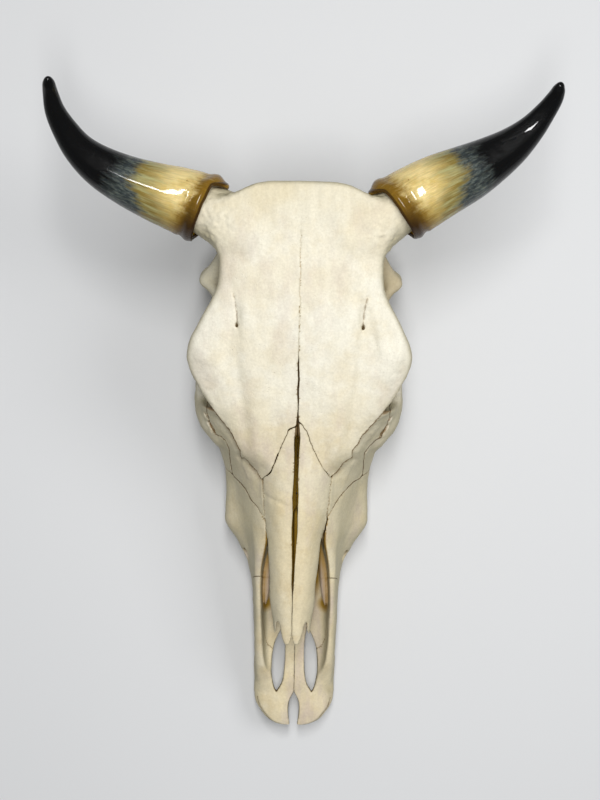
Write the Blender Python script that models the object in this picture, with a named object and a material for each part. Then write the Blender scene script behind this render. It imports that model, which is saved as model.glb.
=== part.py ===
"""Cow skull without its lower jaw: cranium, upper jaw with its cheek teeth and the two horn sheaths.

The shape tables below are in millimetres: x is the distance from the middle plane, s the distance
back from the tip of the nose and z the height over the plane the cheek teeth stand on.
The bone is worked out as one body on a grid, meshed, thinned and then parted along its sutures.
"""
import math

import bmesh
import bpy
import numpy as np

MM = 0.001
GRID_STEP = 2.0
BODY_TRIANGLES = 3800
SUTURE = 0.34
HALF_SUTURE = SUTURE / 2
HORN_CLEARANCE = 1.7
HORN_SIDES = 14
SHARP_ANGLE = math.radians(42)

# median outline of the roof: s, z
CREST_S = (60, 83, 100, 130, 160, 200, 239, 281, 310, 342, 380, 420, 450, 472, 484, 496)
CREST_Z = (78, 85, 90.5, 98.5, 105.5, 115, 125, 137.5, 147, 157.5, 168.5, 178.5, 185.5, 189.5, 190, 188)
# half-width of the nasal bones, and of the roof behind them
NASAL_S = (78, 95, 104, 125, 150, 175, 200, 220, 239, 300)
NASAL_X = (15, 17.5, 19.5, 22.5, 24.5, 26.5, 28, 29.5, 30.5, 31)
ROOF_S = (200, 239, 257, 283, 305, 319, 331, 342, 352, 375, 390, 404, 422, 440, 455, 480, 500)
ROOF_X = (22, 31, 47, 63, 81, 89.5, 95.5, 98, 96, 86, 77, 71.6, 69.5, 70.5, 72, 70, 66)

# cross-sections of the face: s, then six pairs of z and half-width from the foot up
FACE = (
    (40, (10, 34), (24, 37), (33, 37.0), (38, 36.5), (41, 35), (44, 33)),
    (60, (10, 35), (28, 37), (38, 37.5), (43, 36.5), (47, 35), (50, 33)),
    (100, (10, 36), (30, 39), (42, 40), (54, 38.5), (60, 36), (64, 33)),
    (130, (10, 38), (32, 41), (46, 42), (60, 39.5), (70, 36), (75, 32)),
    (152, (10, 41), (32, 44), (46, 44.5), (62, 40.5), (76, 35), (83, 31)),
    (172, (10, 46), (32, 51), (47, 52.5), (66, 43), (84, 35), (93, 30)),
    (197, (10, 55), (34, 60), (50, 66), (68, 51), (88, 38.5), (103, 29)),
    (223, (10, 58), (38, 61), (55, 65), (74, 54), (92, 43.5), (109, 30)),
    (239, (10, 60), (42, 62), (60, 66), (80, 58), (98, 46), (113, 32)),
    (257, (10, 60), (48, 63), (70, 70), (88, 65), (105, 57), (120, 47)),
    (272, (10, 56), (50, 62), (76, 77), (92, 75), (109, 66), (123, 56)),
    (283, (10, 48), (52, 58), (80, 85), (98, 81), (112, 73), (126, 63)),
    (300, (10, 40), (52, 50), (78, 89), (98, 88), (116, 84), (134, 80)),
    (345, (10, 40), (52, 50), (74, 89), (98, 93), (124, 95), (142, 96)),
)

# cross-sections of the braincase and of the walls between the orbits
CORE = (
    (262, (30, 24), (60, 40), (75, 44), (95, 38), (115, 36), (130, 40)),
    (285, (28, 21), (58, 44), (70, 48), (88, 36), (112, 33), (134, 42)),
    (300, (26, 20), (55, 44), (68, 48), (85, 34), (110, 32), (138, 44)),
    (325, (26, 20), (48, 24), (66, 30), (85, 32), (110, 34), (145, 50)),
    (345, (30, 21), (48, 24), (66, 32), (90, 38), (115, 42), (150, 58)),
    (365, (44, 24), (56, 32), (72, 42), (95, 47), (120, 50), (155, 62)),
    (385, (48, 28), (60, 40), (78, 50), (98, 52), (122, 53), (160, 64)),
    (404, (48, 32), (60, 46), (78, 55), (98, 56), (124, 56), (164, 66)),
    (425, (46, 34), (58, 50), (78, 60), (98, 59), (125, 59), (168, 67)),
    (445, (44, 32), (58, 50), (78, 62), (98, 62), (128, 62), (172, 70)),
    (465, (44, 28), (60, 46), (78, 60), (98, 64), (130, 66), (176, 72)),
    (492, (44, 24), (60, 40), (78, 56), (98, 62), (132, 66), (178, 70)),
)

# cheek teeth: s of the middle, length, width, x of the middle
TEETH = (
    (119, 13, 12, 33.0),
    (134.5, 16, 15, 34.0),
    (151, 16, 18, 35.5),
    (171, 23, 21, 39.0),
    (196.5, 26.5, 22, 42.5),
    (225, 28.5, 21, 45.5),
)
FIRST_MOLAR = 160

# each horn from the sheath's rim: x s z of its middle line with the radius of the sheath there
HORNS = {
    "r": (
        ((77, 467, 162), 28.8),
        ((96, 479, 163.5), 29.0),
        ((116.5, 490.5, 165.5), 27.4),
        ((141.3, 502.5, 169), 24.2),
        ((161.8, 514.3, 173), 19.9),
        ((177.8, 525.4, 177.5), 16.0),
        ((192, 538.6, 182.5), 12.0),
        ((203, 552.4, 188.5), 9.0),
        ((210, 563.3, 195), 7.1),
        ((213, 572, 203), 4.8),
    ),
    "l": (
        ((80, 466, 162), 29.3),
        ((101, 473.5, 163.6), 28.2),
        ((124.8, 480.4, 167.3), 25.0),
        ((150.2, 489.3, 172), 21.2),
        ((173.8, 504, 177.5), 16.0),
        ((188.5, 515.8, 184), 12.9),
        ((200.7, 530.2, 191), 9.7),
        ((208, 543.7, 199), 7.3),
        ((211.6, 556.2, 208), 6.2),
        ((212, 565, 219), 4.6),
    ),
}
RIM_FACING = {"r": (0.80, 0.60, 0.0), "l": (0.85, 0.53, 0.0)}
# middle line and radius of the horn core, from inside the frontal bone
CORE_ROOT = ((44, 452, 160), (61, 457.5, 161))
CORE_RADII = (25, 24.5, 22.4, 20.0, 15.0)

BONE = (0.80, 0.74, 0.62, 1.0)
BONE_SHADES = {
    "frontal": (0.82, 0.77, 0.66, 1.0),
    "nasal": (0.80, 0.73, 0.60, 1.0),
    "maxilla": (0.77, 0.71, 0.59, 1.0),
    "zygomatic": (0.78, 0.71, 0.57, 1.0),
}
HORN_COLOUR = (0.26, 0.17, 0.07, 1.0)


def curve(t, knots, values):
    """Smooth curve through points that never overshoots them."""
    k = np.asarray(knots, float)
    v = np.asarray(values, float)
    d = np.diff(v) / np.diff(k)
    m = np.zeros_like(v)
    product = d[:-1] * d[1:]
    rising = product > 0
    m[1:-1] = np.where(rising, 2 * product / np.where(rising, d[:-1] + d[1:], 1.0), 0.0)
    m[0] = d[0]
    m[-1] = d[-1]
    t = np.clip(t, k[0], k[-1])
    i = np.clip(np.searchsorted(k, t, side="right") - 1, 0, len(k) - 2)
    h = k[i + 1] - k[i]
    u = (t - k[i]) / h
    start = v[i] * (1 + 2 * u) * (1 - u) ** 2 + m[i] * h * u * (1 - u) ** 2
    end = v[i + 1] * u * u * (3 - 2 * u) + m[i + 1] * h * u * u * (u - 1)
    return start + end


def wall(s, z, sections):
    """Half-width of a body given by cross-sections, at each s and z."""
    stations = [row[0] for row in sections]
    levels = range(1, len(sections[0]))
    heights = np.stack([curve(s, stations, [row[i][0] for row in sections]) for i in levels])
    widths = np.stack([curve(s, stations, [row[i][1] for row in sections]) for i in levels])
    out = np.empty((len(s), len(z)))
    for j in range(len(s)):
        out[j] = curve(z, heights[:, j], widths[:, j])
    return out


def smin(a, b, r):
    """Smaller of two distances, with a fillet of about r."""
    h = np.maximum(r - np.abs(a - b), 0.0) / r
    return np.minimum(a, b) - h * h * r * 0.25


def smax(a, b, r):
    """Larger of two distances, with a round of about r."""
    h = np.maximum(r - np.abs(a - b), 0.0) / r
    return np.maximum(a, b) + h * h * r * 0.25


def steepness(surface):
    """Factor that turns a difference along the third axis into a distance from the surface."""
    g = np.gradient(surface, GRID_STEP)
    return 1 / np.sqrt(1 + g[0] ** 2 + g[1] ** 2)


class Grid:
    """Half of the space around the bone, from the middle plane outwards."""

    def __init__(self):
        self.x = np.arange(0, 138, GRID_STEP)
        self.s = np.arange(-6, 510, GRID_STEP)
        self.z = np.arange(-6, 214, GRID_STEP)
        self.X = self.x[:, None, None]
        self.S = self.s[None, :, None]
        self.Z = self.z[None, None, :]

    def box(self, low, high):
        """Slices of the grid within a box."""
        out = []
        for axis, a, b in zip((self.x, self.s, self.z), low, high):
            i = int(np.searchsorted(axis, a))
            j = int(np.searchsorted(axis, b))
            out.append(slice(max(0, i - 1), j + 1))
        return tuple(out)

    def blend(self, field, low, high, shape, r, sign=1):
        """Join a shape to the field within a box, or cut it away where sign is -1."""
        part = self.box(low, high)
        x = self.x[part[0], None, None]
        s = self.s[None, part[1], None]
        z = self.z[None, None, part[2]]
        if sign > 0:
            field[part] = smin(field[part], shape(x, s, z), r)
        else:
            field[part] = smax(field[part], -shape(x, s, z), r)


def knob(centre, radii, turn=0.0):
    """Ellipsoid; turn is its tilt in degrees in the side view."""
    c = math.cos(math.radians(turn))
    n = math.sin(math.radians(turn))

    def shape(x, s, z):
        x = x - centre[0]
        ds = (s - centre[1]) * c + (z - centre[2]) * n
        dz = (z - centre[2]) * c - (s - centre[1]) * n
        a, b, d = radii
        k0 = np.sqrt((x / a) ** 2 + (ds / b) ** 2 + (dz / d) ** 2)
        k1 = np.sqrt((x / a ** 2) ** 2 + (ds / b ** 2) ** 2 + (dz / d ** 2) ** 2)
        return k0 * (k0 - 1) / np.maximum(k1, 1e-6)

    return shape


def smooth_path(points, radii, parts=4):
    """Points and radii resampled along a Catmull-Rom curve."""
    p = np.array([list(q) + [r] for q, r in zip(points, radii)], float)
    e = np.vstack([2 * p[0] - p[1], p, 2 * p[-1] - p[-2]])
    out = []
    for i in range(1, len(e) - 2):
        for k in range(parts):
            t = k / parts
            line = 2 * e[i] + (e[i + 1] - e[i - 1]) * t
            bend = (2 * e[i - 1] - 5 * e[i] + 4 * e[i + 1] - e[i + 2]) * t * t
            twist = (3 * e[i] - e[i - 1] - 3 * e[i + 1] + e[i + 2]) * t ** 3
            out.append(0.5 * (line + bend + twist))
    out.append(p[-1])
    return np.array(out)


def limb(points, radii, squeeze=(1, 1, 1)):
    """Round bar along a smooth path, made thinner along an axis by its squeeze."""
    q = np.array(squeeze, float)
    path = smooth_path(points, radii)

    def shape(x, s, z):
        out = None
        for a, b in zip(path[:-1], path[1:]):
            d = (b[:3] - a[:3]) * q
            px = (x - a[0]) * q[0]
            ps = (s - a[1]) * q[1]
            pz = (z - a[2]) * q[2]
            t = np.clip((px * d[0] + ps * d[1] + pz * d[2]) / (d @ d), 0, 1)
            r = a[3] + (b[3] - a[3]) * t
            dist = np.sqrt((px - t * d[0]) ** 2 + (ps - t * d[1]) ** 2 + (pz - t * d[2]) ** 2) - r
            out = dist if out is None else np.minimum(out, dist)
        return out / q.max()

    return shape


def roof_height(x, s):
    """Height of the upper surface at each x and s."""
    x = x[:, None]
    s = s[None, :]
    top = curve(s, CREST_S, CREST_Z)
    half_nasal = curve(s, NASAL_S, NASAL_X)
    half_roof = curve(s, ROOF_S, ROOF_X)
    roll = curve(s, (83, 150, 200, 239), (11, 13, 13, 12))
    nasal = roll * np.clip(x / half_nasal, 0, 1.3) ** 2.6
    fall = curve(s, (239, 283, 320, 342, 404, 450, 480), (14, 14, 14, 13, 9, 5, 4))
    brow = fall * np.clip(x / half_roof, 0, 1.2) ** 2.2
    brow += 3.2 * np.exp(-((x - 57) / 9) ** 2 - ((s - 345) / 30) ** 2)
    brow += 2.0 * np.exp(-((x - 54) / 4) ** 2 - ((s - 376) / 14) ** 2)
    brow += 2.2 * np.exp(-((x - 20) / 9) ** 2 - ((s - 258) / 24) ** 2)
    brow -= 1.5 * np.exp(-((x - 76) / 12) ** 2 - ((s - 352) / 22) ** 2)
    mix = np.clip((s - 222) / 40, 0, 1)
    mix = mix * mix * (3 - 2 * mix)
    return top - nasal * (1 - mix) - brow * mix


def underside_height(x, s):
    """Height of the palate and of the edge that bears the teeth."""
    x = x[:, None]
    s = s[None, :]
    inner = curve(s, (40, 70, 105, 125, 200, 262), (22, 25, 27, 29, 32, 35))
    edge = curve(s, (0, 30, 60, 108, 116, 262, 270, 280, 292), (17, 17, 20, 24, 25, 25, 32, 52, 66))
    vault = curve(s, (20, 60, 110, 160, 262, 285), (23, 27, 31, 35, 37, 40))
    t = np.clip((x - (inner - 9)) / 9, 0, 1)
    return vault + (edge - vault) * t * t * (3 - 2 * t)


def main_body(g, above):
    """Face, roof plate and braincase in one, under the roof and ahead of the nape."""
    under = underside_height(g.x, g.s)
    face_width = wall(g.s, g.z, FACE)
    beside = (g.X - face_width[None]) * steepness(face_width)[None]
    below = (under[:, :, None] - g.Z) * np.clip(steepness(under), 0.4, 1)[:, :, None]
    back = curve(g.z, (20, 62, 90, 120, 150), (276, 300, 296, 290, 286))[None, None, :]
    face = smax(smax(beside, below, 4.0), (g.S - back) * 0.9, 3.0)
    face = smax(face, 40.0 - g.S, 2.0)

    half = curve(g.s, ROOF_S, ROOF_X)[None, :, None]
    depth = curve(g.s, (239, 283, 320, 342, 360, 404, 460), (10, 12, 13, 15, 15, 15, 22))[None, :, None]
    plate = smax(smax((g.X - half) * 0.8, -above - depth, 8.0), 236.0 - g.S, 3.0)

    core_width = wall(g.s, g.z, CORE)
    core = (g.X - core_width[None]) * steepness(core_width)[None]
    base = curve(
        g.s,
        (262, 285, 300, 340, 350, 365, 400, 440, 470, 490),
        (62, 72, 78, 74, 66, 58, 52, 46, 46, 48),
    )[None, :, None]
    core = smax(smax(core, (base - g.Z) * 0.95, 6.0), 262.0 - g.S, 3.0)

    bone = smax(smin(smin(face, core, 5.0), plate, 9.0), above, 6.0)
    z = g.z[None, :]
    x = g.x[:, None]
    nape = curve(g.z, (40, 60, 95, 120, 150, 172, 184, 196), (476, 474, 470, 470, 478, 488, 494, 496))
    nape = nape[None, :] - 9 * (x / 70) ** 2.5
    nape += 3.5 * np.exp(-(x / 9) ** 2 - ((z - 138) / 18) ** 2)
    nape -= 3 * np.exp(-((x - 28) / 16) ** 2 - ((z - 128) / 22) ** 2)
    return smax(bone, (g.S - nape[:, None, :]) * 0.95, 9.0)


def core_line(side):
    """Middle line of a horn core: its root, then along the horn until just past the second station."""
    horn = HORNS[side]
    end = tuple(0.2 * a + 0.8 * b for a, b in zip(horn[1][0], horn[2][0]))
    return CORE_ROOT + (horn[0][0], horn[1][0], end)


def add_horn_core(g, f, side):
    """Horn core, with the bone round it cleared for the wall of the sheath."""
    horn = HORNS[side]
    start = horn[0][0]
    facing = RIM_FACING[side]
    core = limb(core_line(side), CORE_RADII)
    outside = limb([row[0] for row in horn[:5]], [row[1] + 1.6 for row in horn[:5]])

    def sheath_space(x, s, z):
        behind = (start[0] - x) * facing[0] + (start[1] - s) * facing[1] - 0.8
        return smax(np.maximum(outside(x, s, z), behind), -core(x, s, z), 1.0)

    g.blend(f, (20, 425, 120), (138, 512, 215), core, 11.0)
    g.blend(f, (40, 425, 110), (138, 512, 215), sheath_space, 0.6, -1)


def add_cranium_parts(g, f):
    """Bars, arch, ear parts, condyle, jugular process and wing plates."""
    bar = limb(
        [(84, 349, 142), (89, 348, 128), (90, 348, 110), (88, 346, 92), (86, 343, 76)],
        (9, 8, 7, 7.5, 8.5),
        (1.2, 0.9, 1),
    )
    g.blend(f, (55, 315, 60), (110, 380, 160), bar, 9.0)
    g.blend(f, (40, 262, 50), (105, 340, 95), knob((66, 300, 70), (24, 26, 9)), 6.0)
    arch = limb(
        [(72, 272, 84), (82, 285, 81), (86.5, 300, 76), (87, 320, 72), (86, 342, 72),
         (82, 365, 74), (80, 388, 77), (83, 402, 78), (85, 412, 78)],
        (8, 9, 8.8, 8.6, 9, 8.2, 7.6, 7.6, 7.0),
        (1.3, 1, 0.82),
    )
    g.blend(f, (50, 255, 50), (110, 450, 110), arch, 7.0)
    root = limb(
        [(86.5, 411, 79), (81, 420, 79), (72, 430, 80), (60, 437, 82), (46, 440, 82)],
        (4.6, 7, 8.6, 11, 13),
        (0.85, 0.8, 1.0),
    )
    g.blend(f, (40, 395, 50), (110, 455, 105), root, 7.0)
    g.blend(f, (35, 390, 45), (100, 440, 90), knob((67, 417, 71), (25, 12, 8)), 7.0)
    ridge = limb(
        [(64, 452, 138), (67, 449, 116), (68, 449, 96), (65, 452, 76), (58, 455, 60)],
        (6, 8, 8.5, 8, 8),
    )
    g.blend(f, (40, 425, 30), (95, 480, 150), ridge, 8.0)
    g.blend(f, (20, 400, 20), (70, 460, 80), knob((38, 427, 47), (11, 16, 16), 10), 5.0)
    g.blend(f, (20, 400, 20), (80, 460, 90), limb([(42, 434, 60), (66, 443, 71)], (9, 7)), 5.0)
    condyle = limb(
        [(33, 472, 76), (33, 478, 66), (29, 481, 54), (20, 478, 44), (14, 470, 40)],
        (8, 12, 14, 12, 8),
        (1, 0.95, 1),
    )
    g.blend(f, (0, 440, 20), (70, 505, 110), condyle, 5.0)
    jugular = limb(
        [(58, 462, 78), (58, 460, 58), (56, 457, 40), (52, 453, 22), (49, 451, 4)],
        (15, 13, 11, 9, 8.0),
        (1.5, 0.9, 1),
    )
    g.blend(f, (30, 430, -8), (85, 485, 95), jugular, 8.0)
    floor = limb(
        [(0, 352, 76), (0, 385, 66), (0, 415, 60), (0, 440, 58), (0, 464, 58)],
        (11, 13, 15, 17, 18),
        (0.85, 1, 1.1),
    )
    g.blend(f, (0, 340, 35), (40, 485, 90), floor, 6.0)
    g.blend(f, (0, 400, 30), (40, 450, 70), knob((11, 424, 46), (9, 12, 6)), 5.0)
    g.blend(f, (20, 260, 40), (80, 330, 100), knob((47, 292, 64), (18, 23, 13), -10), 5.0)
    wing = limb(
        [(24, 258, 42), (21, 280, 42), (19.5, 305, 44), (20, 332, 50), (23, 352, 62)],
        (10, 15, 18, 17, 12),
        (3.4, 1, 0.75),
    )
    g.blend(f, (0, 250, 10), (45, 370, 100), wing, 4.0)
    hook = limb([(19, 334, 42), (19.5, 328, 31), (20.5, 321, 24)], (7, 5, 3.2), (1.7, 1, 1))
    g.blend(f, (0, 290, 5), (45, 350, 60), hook, 3.0)


def cut_openings(g, f):
    """Orbit, temple, space under the orbit, joint hollow, foramen magnum, ear hole, nerve hole."""
    g.blend(f, (25, 265, 60), (130, 360, 160), knob((92, 315, 107), (62, 30, 30)), 3.5, -1)
    g.blend(f, (25, 265, 60), (130, 360, 160), knob((62, 317, 104), (30, 27, 27)), 3.5, -1)
    g.blend(f, (30, 345, 80), (130, 445, 170), knob((84, 392, 118), (34, 36, 30)), 6.0, -1)
    g.blend(f, (30, 280, 0), (130, 410, 75), knob((76, 345, 38), (50, 58, 30)), 6.0, -1)
    g.blend(f, (40, 400, 50), (100, 445, 90), knob((68, 432, 64), (20, 7, 8)), 3.0, -1)
    cord = limb(
        [(0, 505, 64), (0, 482, 67), (0, 464, 72), (0, 444, 88), (0, 418, 104)],
        (19, 18, 17.5, 24, 32),
    )
    g.blend(f, (0, 380, 30), (70, 520, 140), cord, 4.0, -1)
    g.blend(f, (20, 455, 40), (70, 500, 110), knob((46, 482, 82), (9, 14, 12)), 4.0, -1)
    g.blend(f, (45, 420, 50), (90, 460, 90), limb([(74, 445, 73), (56, 441, 69)], (4.6, 3.6)), 1.5, -1)
    nerve = limb([(52, 150, 50), (45, 162, 52), (39, 176, 54)], (5.8, 4.8, 3.8))
    g.blend(f, (30, 135, 35), (60, 190, 75), nerve, 1.5, -1)


def open_nose(g, f, above, roof):
    """Trim the side walls to the crest of their bars, hollow the inside, add nasal plate and scroll."""
    crest = curve(g.s, (0, 33, 60, 100, 152, 190, 205, 216, 240), (28, 32, 45, 61, 80, 95, 103, 140, 220))
    f = smax(f, (g.Z - crest[None, :, None]) * 0.9, 4.0)
    inner = wall(g.s, g.z, FACE) - curve(g.s, (40, 100, 152, 200, 240), (7.0, 7.2, 8.0, 10, 14))[:, None]
    floor = curve(g.s, (40, 80, 110, 160, 240), (30, 36, 41, 45, 48))[None, :, None]
    ceiling = roof - curve(g.s, (83, 110, 180, 240), (3.4, 4.6, 6, 9))[None, :]
    hollow = smax((g.X - inner[None]) * 0.9, floor - g.Z, 8.0)
    hollow = smax(hollow, (g.Z - ceiling[:, :, None]) * 0.9, 4.0)
    hollow = smax(hollow, g.S - 212.0, 8.0)
    f = smax(f, -hollow, 1.2)

    half = curve(g.s, NASAL_S, NASAL_X)[None, :, None]
    thick = curve(g.s, (83, 110, 180, 240), (3.4, 4.2, 5.0, 6.5))[None, :, None]
    tip = curve(g.x, (0, 7, 9, 12, 16, 19, 30), (84, 83, 95, 103, 95, 89, 91))[:, None, None]
    plate = smax(smax((g.X - half) * 0.9, above, 1.5), -above - thick, 1.5)
    plate = smax(smax(plate, (tip - g.S) * 0.7, 1.0), g.S - 245.0, 1.0)
    f = np.minimum(f, plate)
    gap = curve(g.s, (80, 120, 140, 180, 230, 262, 290, 300, 320), (-4, -4, -1, 1.6, 3.3, 2.0, 0.7, -2, -40))
    f = smax(f, -smax(g.X - gap[None, :, None], -above - 8.0, 1.0), 0.6)

    scroll = limb([(27, 128, 66), (25, 145, 70), (22, 170, 76), (19, 215, 84)], (2.2, 5, 8, 11), (1.4, 1, 1))
    g.blend(f, (0, 120, 40), (50, 230, 110), scroll, 1.5)
    lower = limb([(30, 150, 60), (36, 175, 58), (38, 215, 62)], (3, 6, 8), (1, 1, 1.5))
    g.blend(f, (0, 130, 40), (60, 230, 90), lower, 3.0)
    return f


def add_premaxilla(g, f):
    """Flat front of the upper jaw with its two long holes and the slit between the halves."""
    half = curve(g.s, (-2, 0.5, 1.5, 5.7, 13.2, 21.6, 29, 40, 60), (4, 6, 13.2, 22.6, 30.0, 35.7, 37, 37, 37))
    top = curve(g.s, (0, 12, 30, 45, 60, 90), (27, 30, 31, 33, 34, 37))[None, :, None]
    bottom = curve(g.s, (0, 12, 30, 60, 90), (20, 19, 21, 25, 30))[None, :, None]
    body = smax((g.X - half[None, :, None]) * 0.75, g.Z - top + 0.004 * (g.X - 4) ** 2, 3.0)
    body = smax(body, bottom - 0.002 * g.X ** 2 - g.Z, 3.0)
    body = smax(smax(body, g.S - 100.0, 2.0), -0.5 - g.S, 3.0)
    f = smin(f, body, 3.0)
    outer = curve(g.s, (28, 33, 42, 55, 68, 79, 84), (12.5, 18.3, 20.3, 21.0, 20.6, 17.6, 11))
    inner = curve(g.s, (28, 33, 42, 57, 79, 84), (13.5, 12.2, 10.0, 9.6, 9.0, 10))
    hole = np.abs(g.X - ((outer + inner) / 2)[None, :, None]) - ((outer - inner) / 2)[None, :, None]
    hole = smax(smax(hole, 31.0 - g.S, 3.0), g.S - 82.0, 3.0)
    f = smax(f, -smax(hole, np.abs(g.Z - 30) - 16, 2.0), 2.0)
    slit = curve(g.s, (-5, 0, 8, 16, 24, 30, 34, 60), (2.8, 3.0, 4.0, 4.6, 3.2, 0.8, 0.1, 0.1))
    opening = smax(smax(g.X - slit[None, :, None], g.S - 34, 1.0), np.abs(g.Z - 24) - 20, 1.0)
    return smax(f, -opening, 1.0)


def add_teeth(g, f):
    """Six cheek teeth grown into the jaw, the molars with a waist between two lobes."""
    for s0, length, width, x0 in TEETH:
        waist = 0.16 if s0 > FIRST_MOLAR else 0.0

        def tooth(x, s, z):
            u = (s - s0) / (length / 2)
            half = width / 2 * (1 - waist * np.exp(-(u / 0.18) ** 2) - 0.10 * np.abs(u) ** 3)
            across = np.abs(x - x0 - (s - s0) * 0.12) - half
            along = np.abs(s - s0) - length / 2 + 0.35
            return smax(smax(across, along, 7.0), smax(z - 34.0, -3.0 - z, 0.5), 1.2)

        g.blend(f, (x0 - 18, s0 - 18, -6), (x0 + 18, s0 + 18, 40), tooth, 1.0)
    return f


def bone_field():
    """Distance from the surface of the whole bone, negative inside it."""
    g = Grid()
    roof = roof_height(g.x, g.s)
    above = (g.Z - roof[:, :, None]) * steepness(roof)[:, :, None]
    f = main_body(g, above)
    add_cranium_parts(g, f)
    cut_openings(g, f)
    f = open_nose(g, f, above, roof)
    f = add_premaxilla(g, f)
    right = add_teeth(g, f)
    left = right.copy()
    add_horn_core(g, right, "r")
    add_horn_core(g, left, "l")
    return g, np.concatenate([left[:0:-1], right], 0)


def surface_mesh(f, low, name):
    """Closed surface where the field is zero: a point in each mixed cell, a face round each crossed edge."""
    inside = f < 0
    shape = [n - 1 for n in f.shape]
    corners = [(a, b, c) for a in (0, 1) for b in (0, 1) for c in (0, 1)]
    count = np.zeros(shape, int)
    for a, b, c in corners:
        count += inside[a:shape[0] + a, b:shape[1] + b, c:shape[2] + c]
    mixed = (count > 0) & (count < 8)
    cells = np.argwhere(mixed)
    index = np.full(shape, -1)
    index[mixed] = np.arange(len(cells))
    total = np.zeros((len(cells), 3))
    hits = np.zeros(len(cells))
    for p in corners:
        for axis in range(3):
            if p[axis]:
                continue
            step = np.eye(3, dtype=int)[axis]
            start = cells + p
            end = start + step
            va = f[tuple(start.T)]
            vb = f[tuple(end.T)]
            crossed = (va < 0) != (vb < 0)
            t = np.where(crossed, va / np.where(crossed, va - vb, 1), 0)
            total += np.where(crossed[:, None], np.array(p) + t[:, None] * step, 0)
            hits += crossed
    points = (cells + total / hits[:, None]) * GRID_STEP + np.array(low)
    faces = []
    for axis in range(3):
        u, v = ((1, 2), (2, 0), (0, 1))[axis]
        near = [slice(1, -1)] * 3
        far = [slice(1, -1)] * 3
        near[axis] = slice(0, -1)
        far[axis] = slice(1, None)
        a = inside[tuple(near)]
        edge = np.argwhere(a != inside[tuple(far)])
        leaving = a[tuple(edge.T)]
        edge[:, u] += 1
        edge[:, v] += 1
        ring = []
        for du, dv in ((-1, -1), (0, -1), (0, 0), (-1, 0)):
            cell = edge.copy()
            cell[:, u] += du
            cell[:, v] += dv
            ring.append(index[tuple(cell.T)])
        ring = np.stack(ring, 1)
        ring[~leaving] = ring[~leaving][:, ::-1]
        faces.append(ring)
    mesh = bpy.data.meshes.new(name)
    mesh.from_pydata((points * MM).tolist(), [], np.concatenate(faces).tolist())
    return mesh


def new_object(name, mesh):
    """Object for a mesh, linked to the scene."""
    obj = bpy.data.objects.new(name, mesh)
    bpy.context.scene.collection.objects.link(obj)
    return obj


def bake(obj):
    """Turn the object's modifiers into mesh."""
    depsgraph = bpy.context.evaluated_depsgraph_get()
    mesh = bpy.data.meshes.new_from_object(obj.evaluated_get(depsgraph))
    obj.modifiers.clear()
    obj.data = mesh
    return obj


def remove(obj):
    """Take an object out of the scene."""
    bpy.data.objects.remove(obj)


def boolean(obj, other, operation):
    """New object from two solids."""
    out = new_object(obj.name + "_cut", obj.data.copy())
    modifier = out.modifiers.new("cut", "BOOLEAN")
    modifier.operation = operation
    modifier.solver = "EXACT"
    modifier.use_self = True
    modifier.object = other
    return bake(out)


def whole_bone():
    """The bone as one closed, thinned mesh."""
    g, f = bone_field()
    obj = new_object("bone", surface_mesh(f, (-g.x[-1], g.s[0], g.z[0]), "bone"))
    voxels = obj.modifiers.new("even", "REMESH")
    voxels.mode = "VOXEL"
    voxels.voxel_size = GRID_STEP * 0.8 * MM
    bake(obj)
    thin = obj.modifiers.new("thin", "DECIMATE")
    thin.ratio = BODY_TRIANGLES / max(1, 2 * len(obj.data.polygons))
    return bake(obj)


def grown(polygon, by):
    """Polygon (counter-clockwise) with each side moved outwards."""
    p = np.array(polygon, float)
    ahead = np.roll(p, -1, axis=0) - p
    ahead /= np.linalg.norm(ahead, axis=1)[:, None]
    out = np.stack([ahead[:, 1], -ahead[:, 0]], 1)
    before = np.roll(out, 1, axis=0)
    middle = out + before
    return p + middle * (2 * by / (middle * middle).sum(1))[:, None]


def prism(polygon, span, kind, by):
    """Upright or sideways prism: kind plan gives x and s, kind side gives s and z."""
    p = grown(polygon, by)
    low, high = span
    n = len(p)
    points = []
    for level in (low - by, high + by):
        for a, b in p:
            points.append((a, b, level) if kind == "plan" else (level, a, b))
    faces = [tuple(range(n))[::-1], tuple(range(n, 2 * n))]
    for i in range(n):
        j = (i + 1) % n
        faces.append((i, j, n + j, n + i))
    mesh = bpy.data.meshes.new("prism")
    mesh.from_pydata([tuple(c * MM for c in q) for q in points], [], faces)
    return new_object("prism", mesh)


def region(rows, by):
    """Union of prisms, each given as kind, polygon and span."""
    out = None
    for kind, polygon, span in rows:
        solid = prism(polygon, span, kind, by)
        if out is None:
            out = solid
            continue
        joined = boolean(out, solid, "UNION")
        remove(out)
        remove(solid)
        out = joined
    return out


def keep_largest(obj):
    """Drop crumbs that a cut leaves beside the main piece."""
    bm = bmesh.new()
    bm.from_mesh(obj.data)
    seen = set()
    groups = []
    for face in bm.faces:
        if face in seen:
            continue
        stack = [face]
        seen.add(face)
        group = []
        while stack:
            here = stack.pop()
            group.append(here)
            for edge in here.edges:
                for other in edge.link_faces:
                    if other not in seen:
                        seen.add(other)
                        stack.append(other)
        groups.append(group)
    groups.sort(key=lambda g: sum(q.calc_area() for q in g))
    crumbs = [q for g in groups[:-1] for q in g]
    bmesh.ops.delete(bm, geom=crumbs, context="FACES")
    bmesh.ops.remove_doubles(bm, verts=bm.verts[:], dist=0.02 * MM)
    bmesh.ops.dissolve_degenerate(bm, edges=bm.edges[:], dist=0.01 * MM)
    bmesh.ops.triangulate(bm, faces=bm.faces[:])
    bm.to_mesh(obj.data)
    bm.free()
    return obj


def take(rest, rows):
    """Cut a region out of the rest: returns the piece and what is left."""
    inside = region(rows, 0.0)
    outside = region(rows, SUTURE)
    piece = boolean(rest, inside, "INTERSECT")
    left = boolean(rest, outside, "DIFFERENCE")
    remove(inside)
    remove(outside)
    remove(rest)
    return keep_largest(piece), left


WIDE = (-200, 200)
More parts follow.
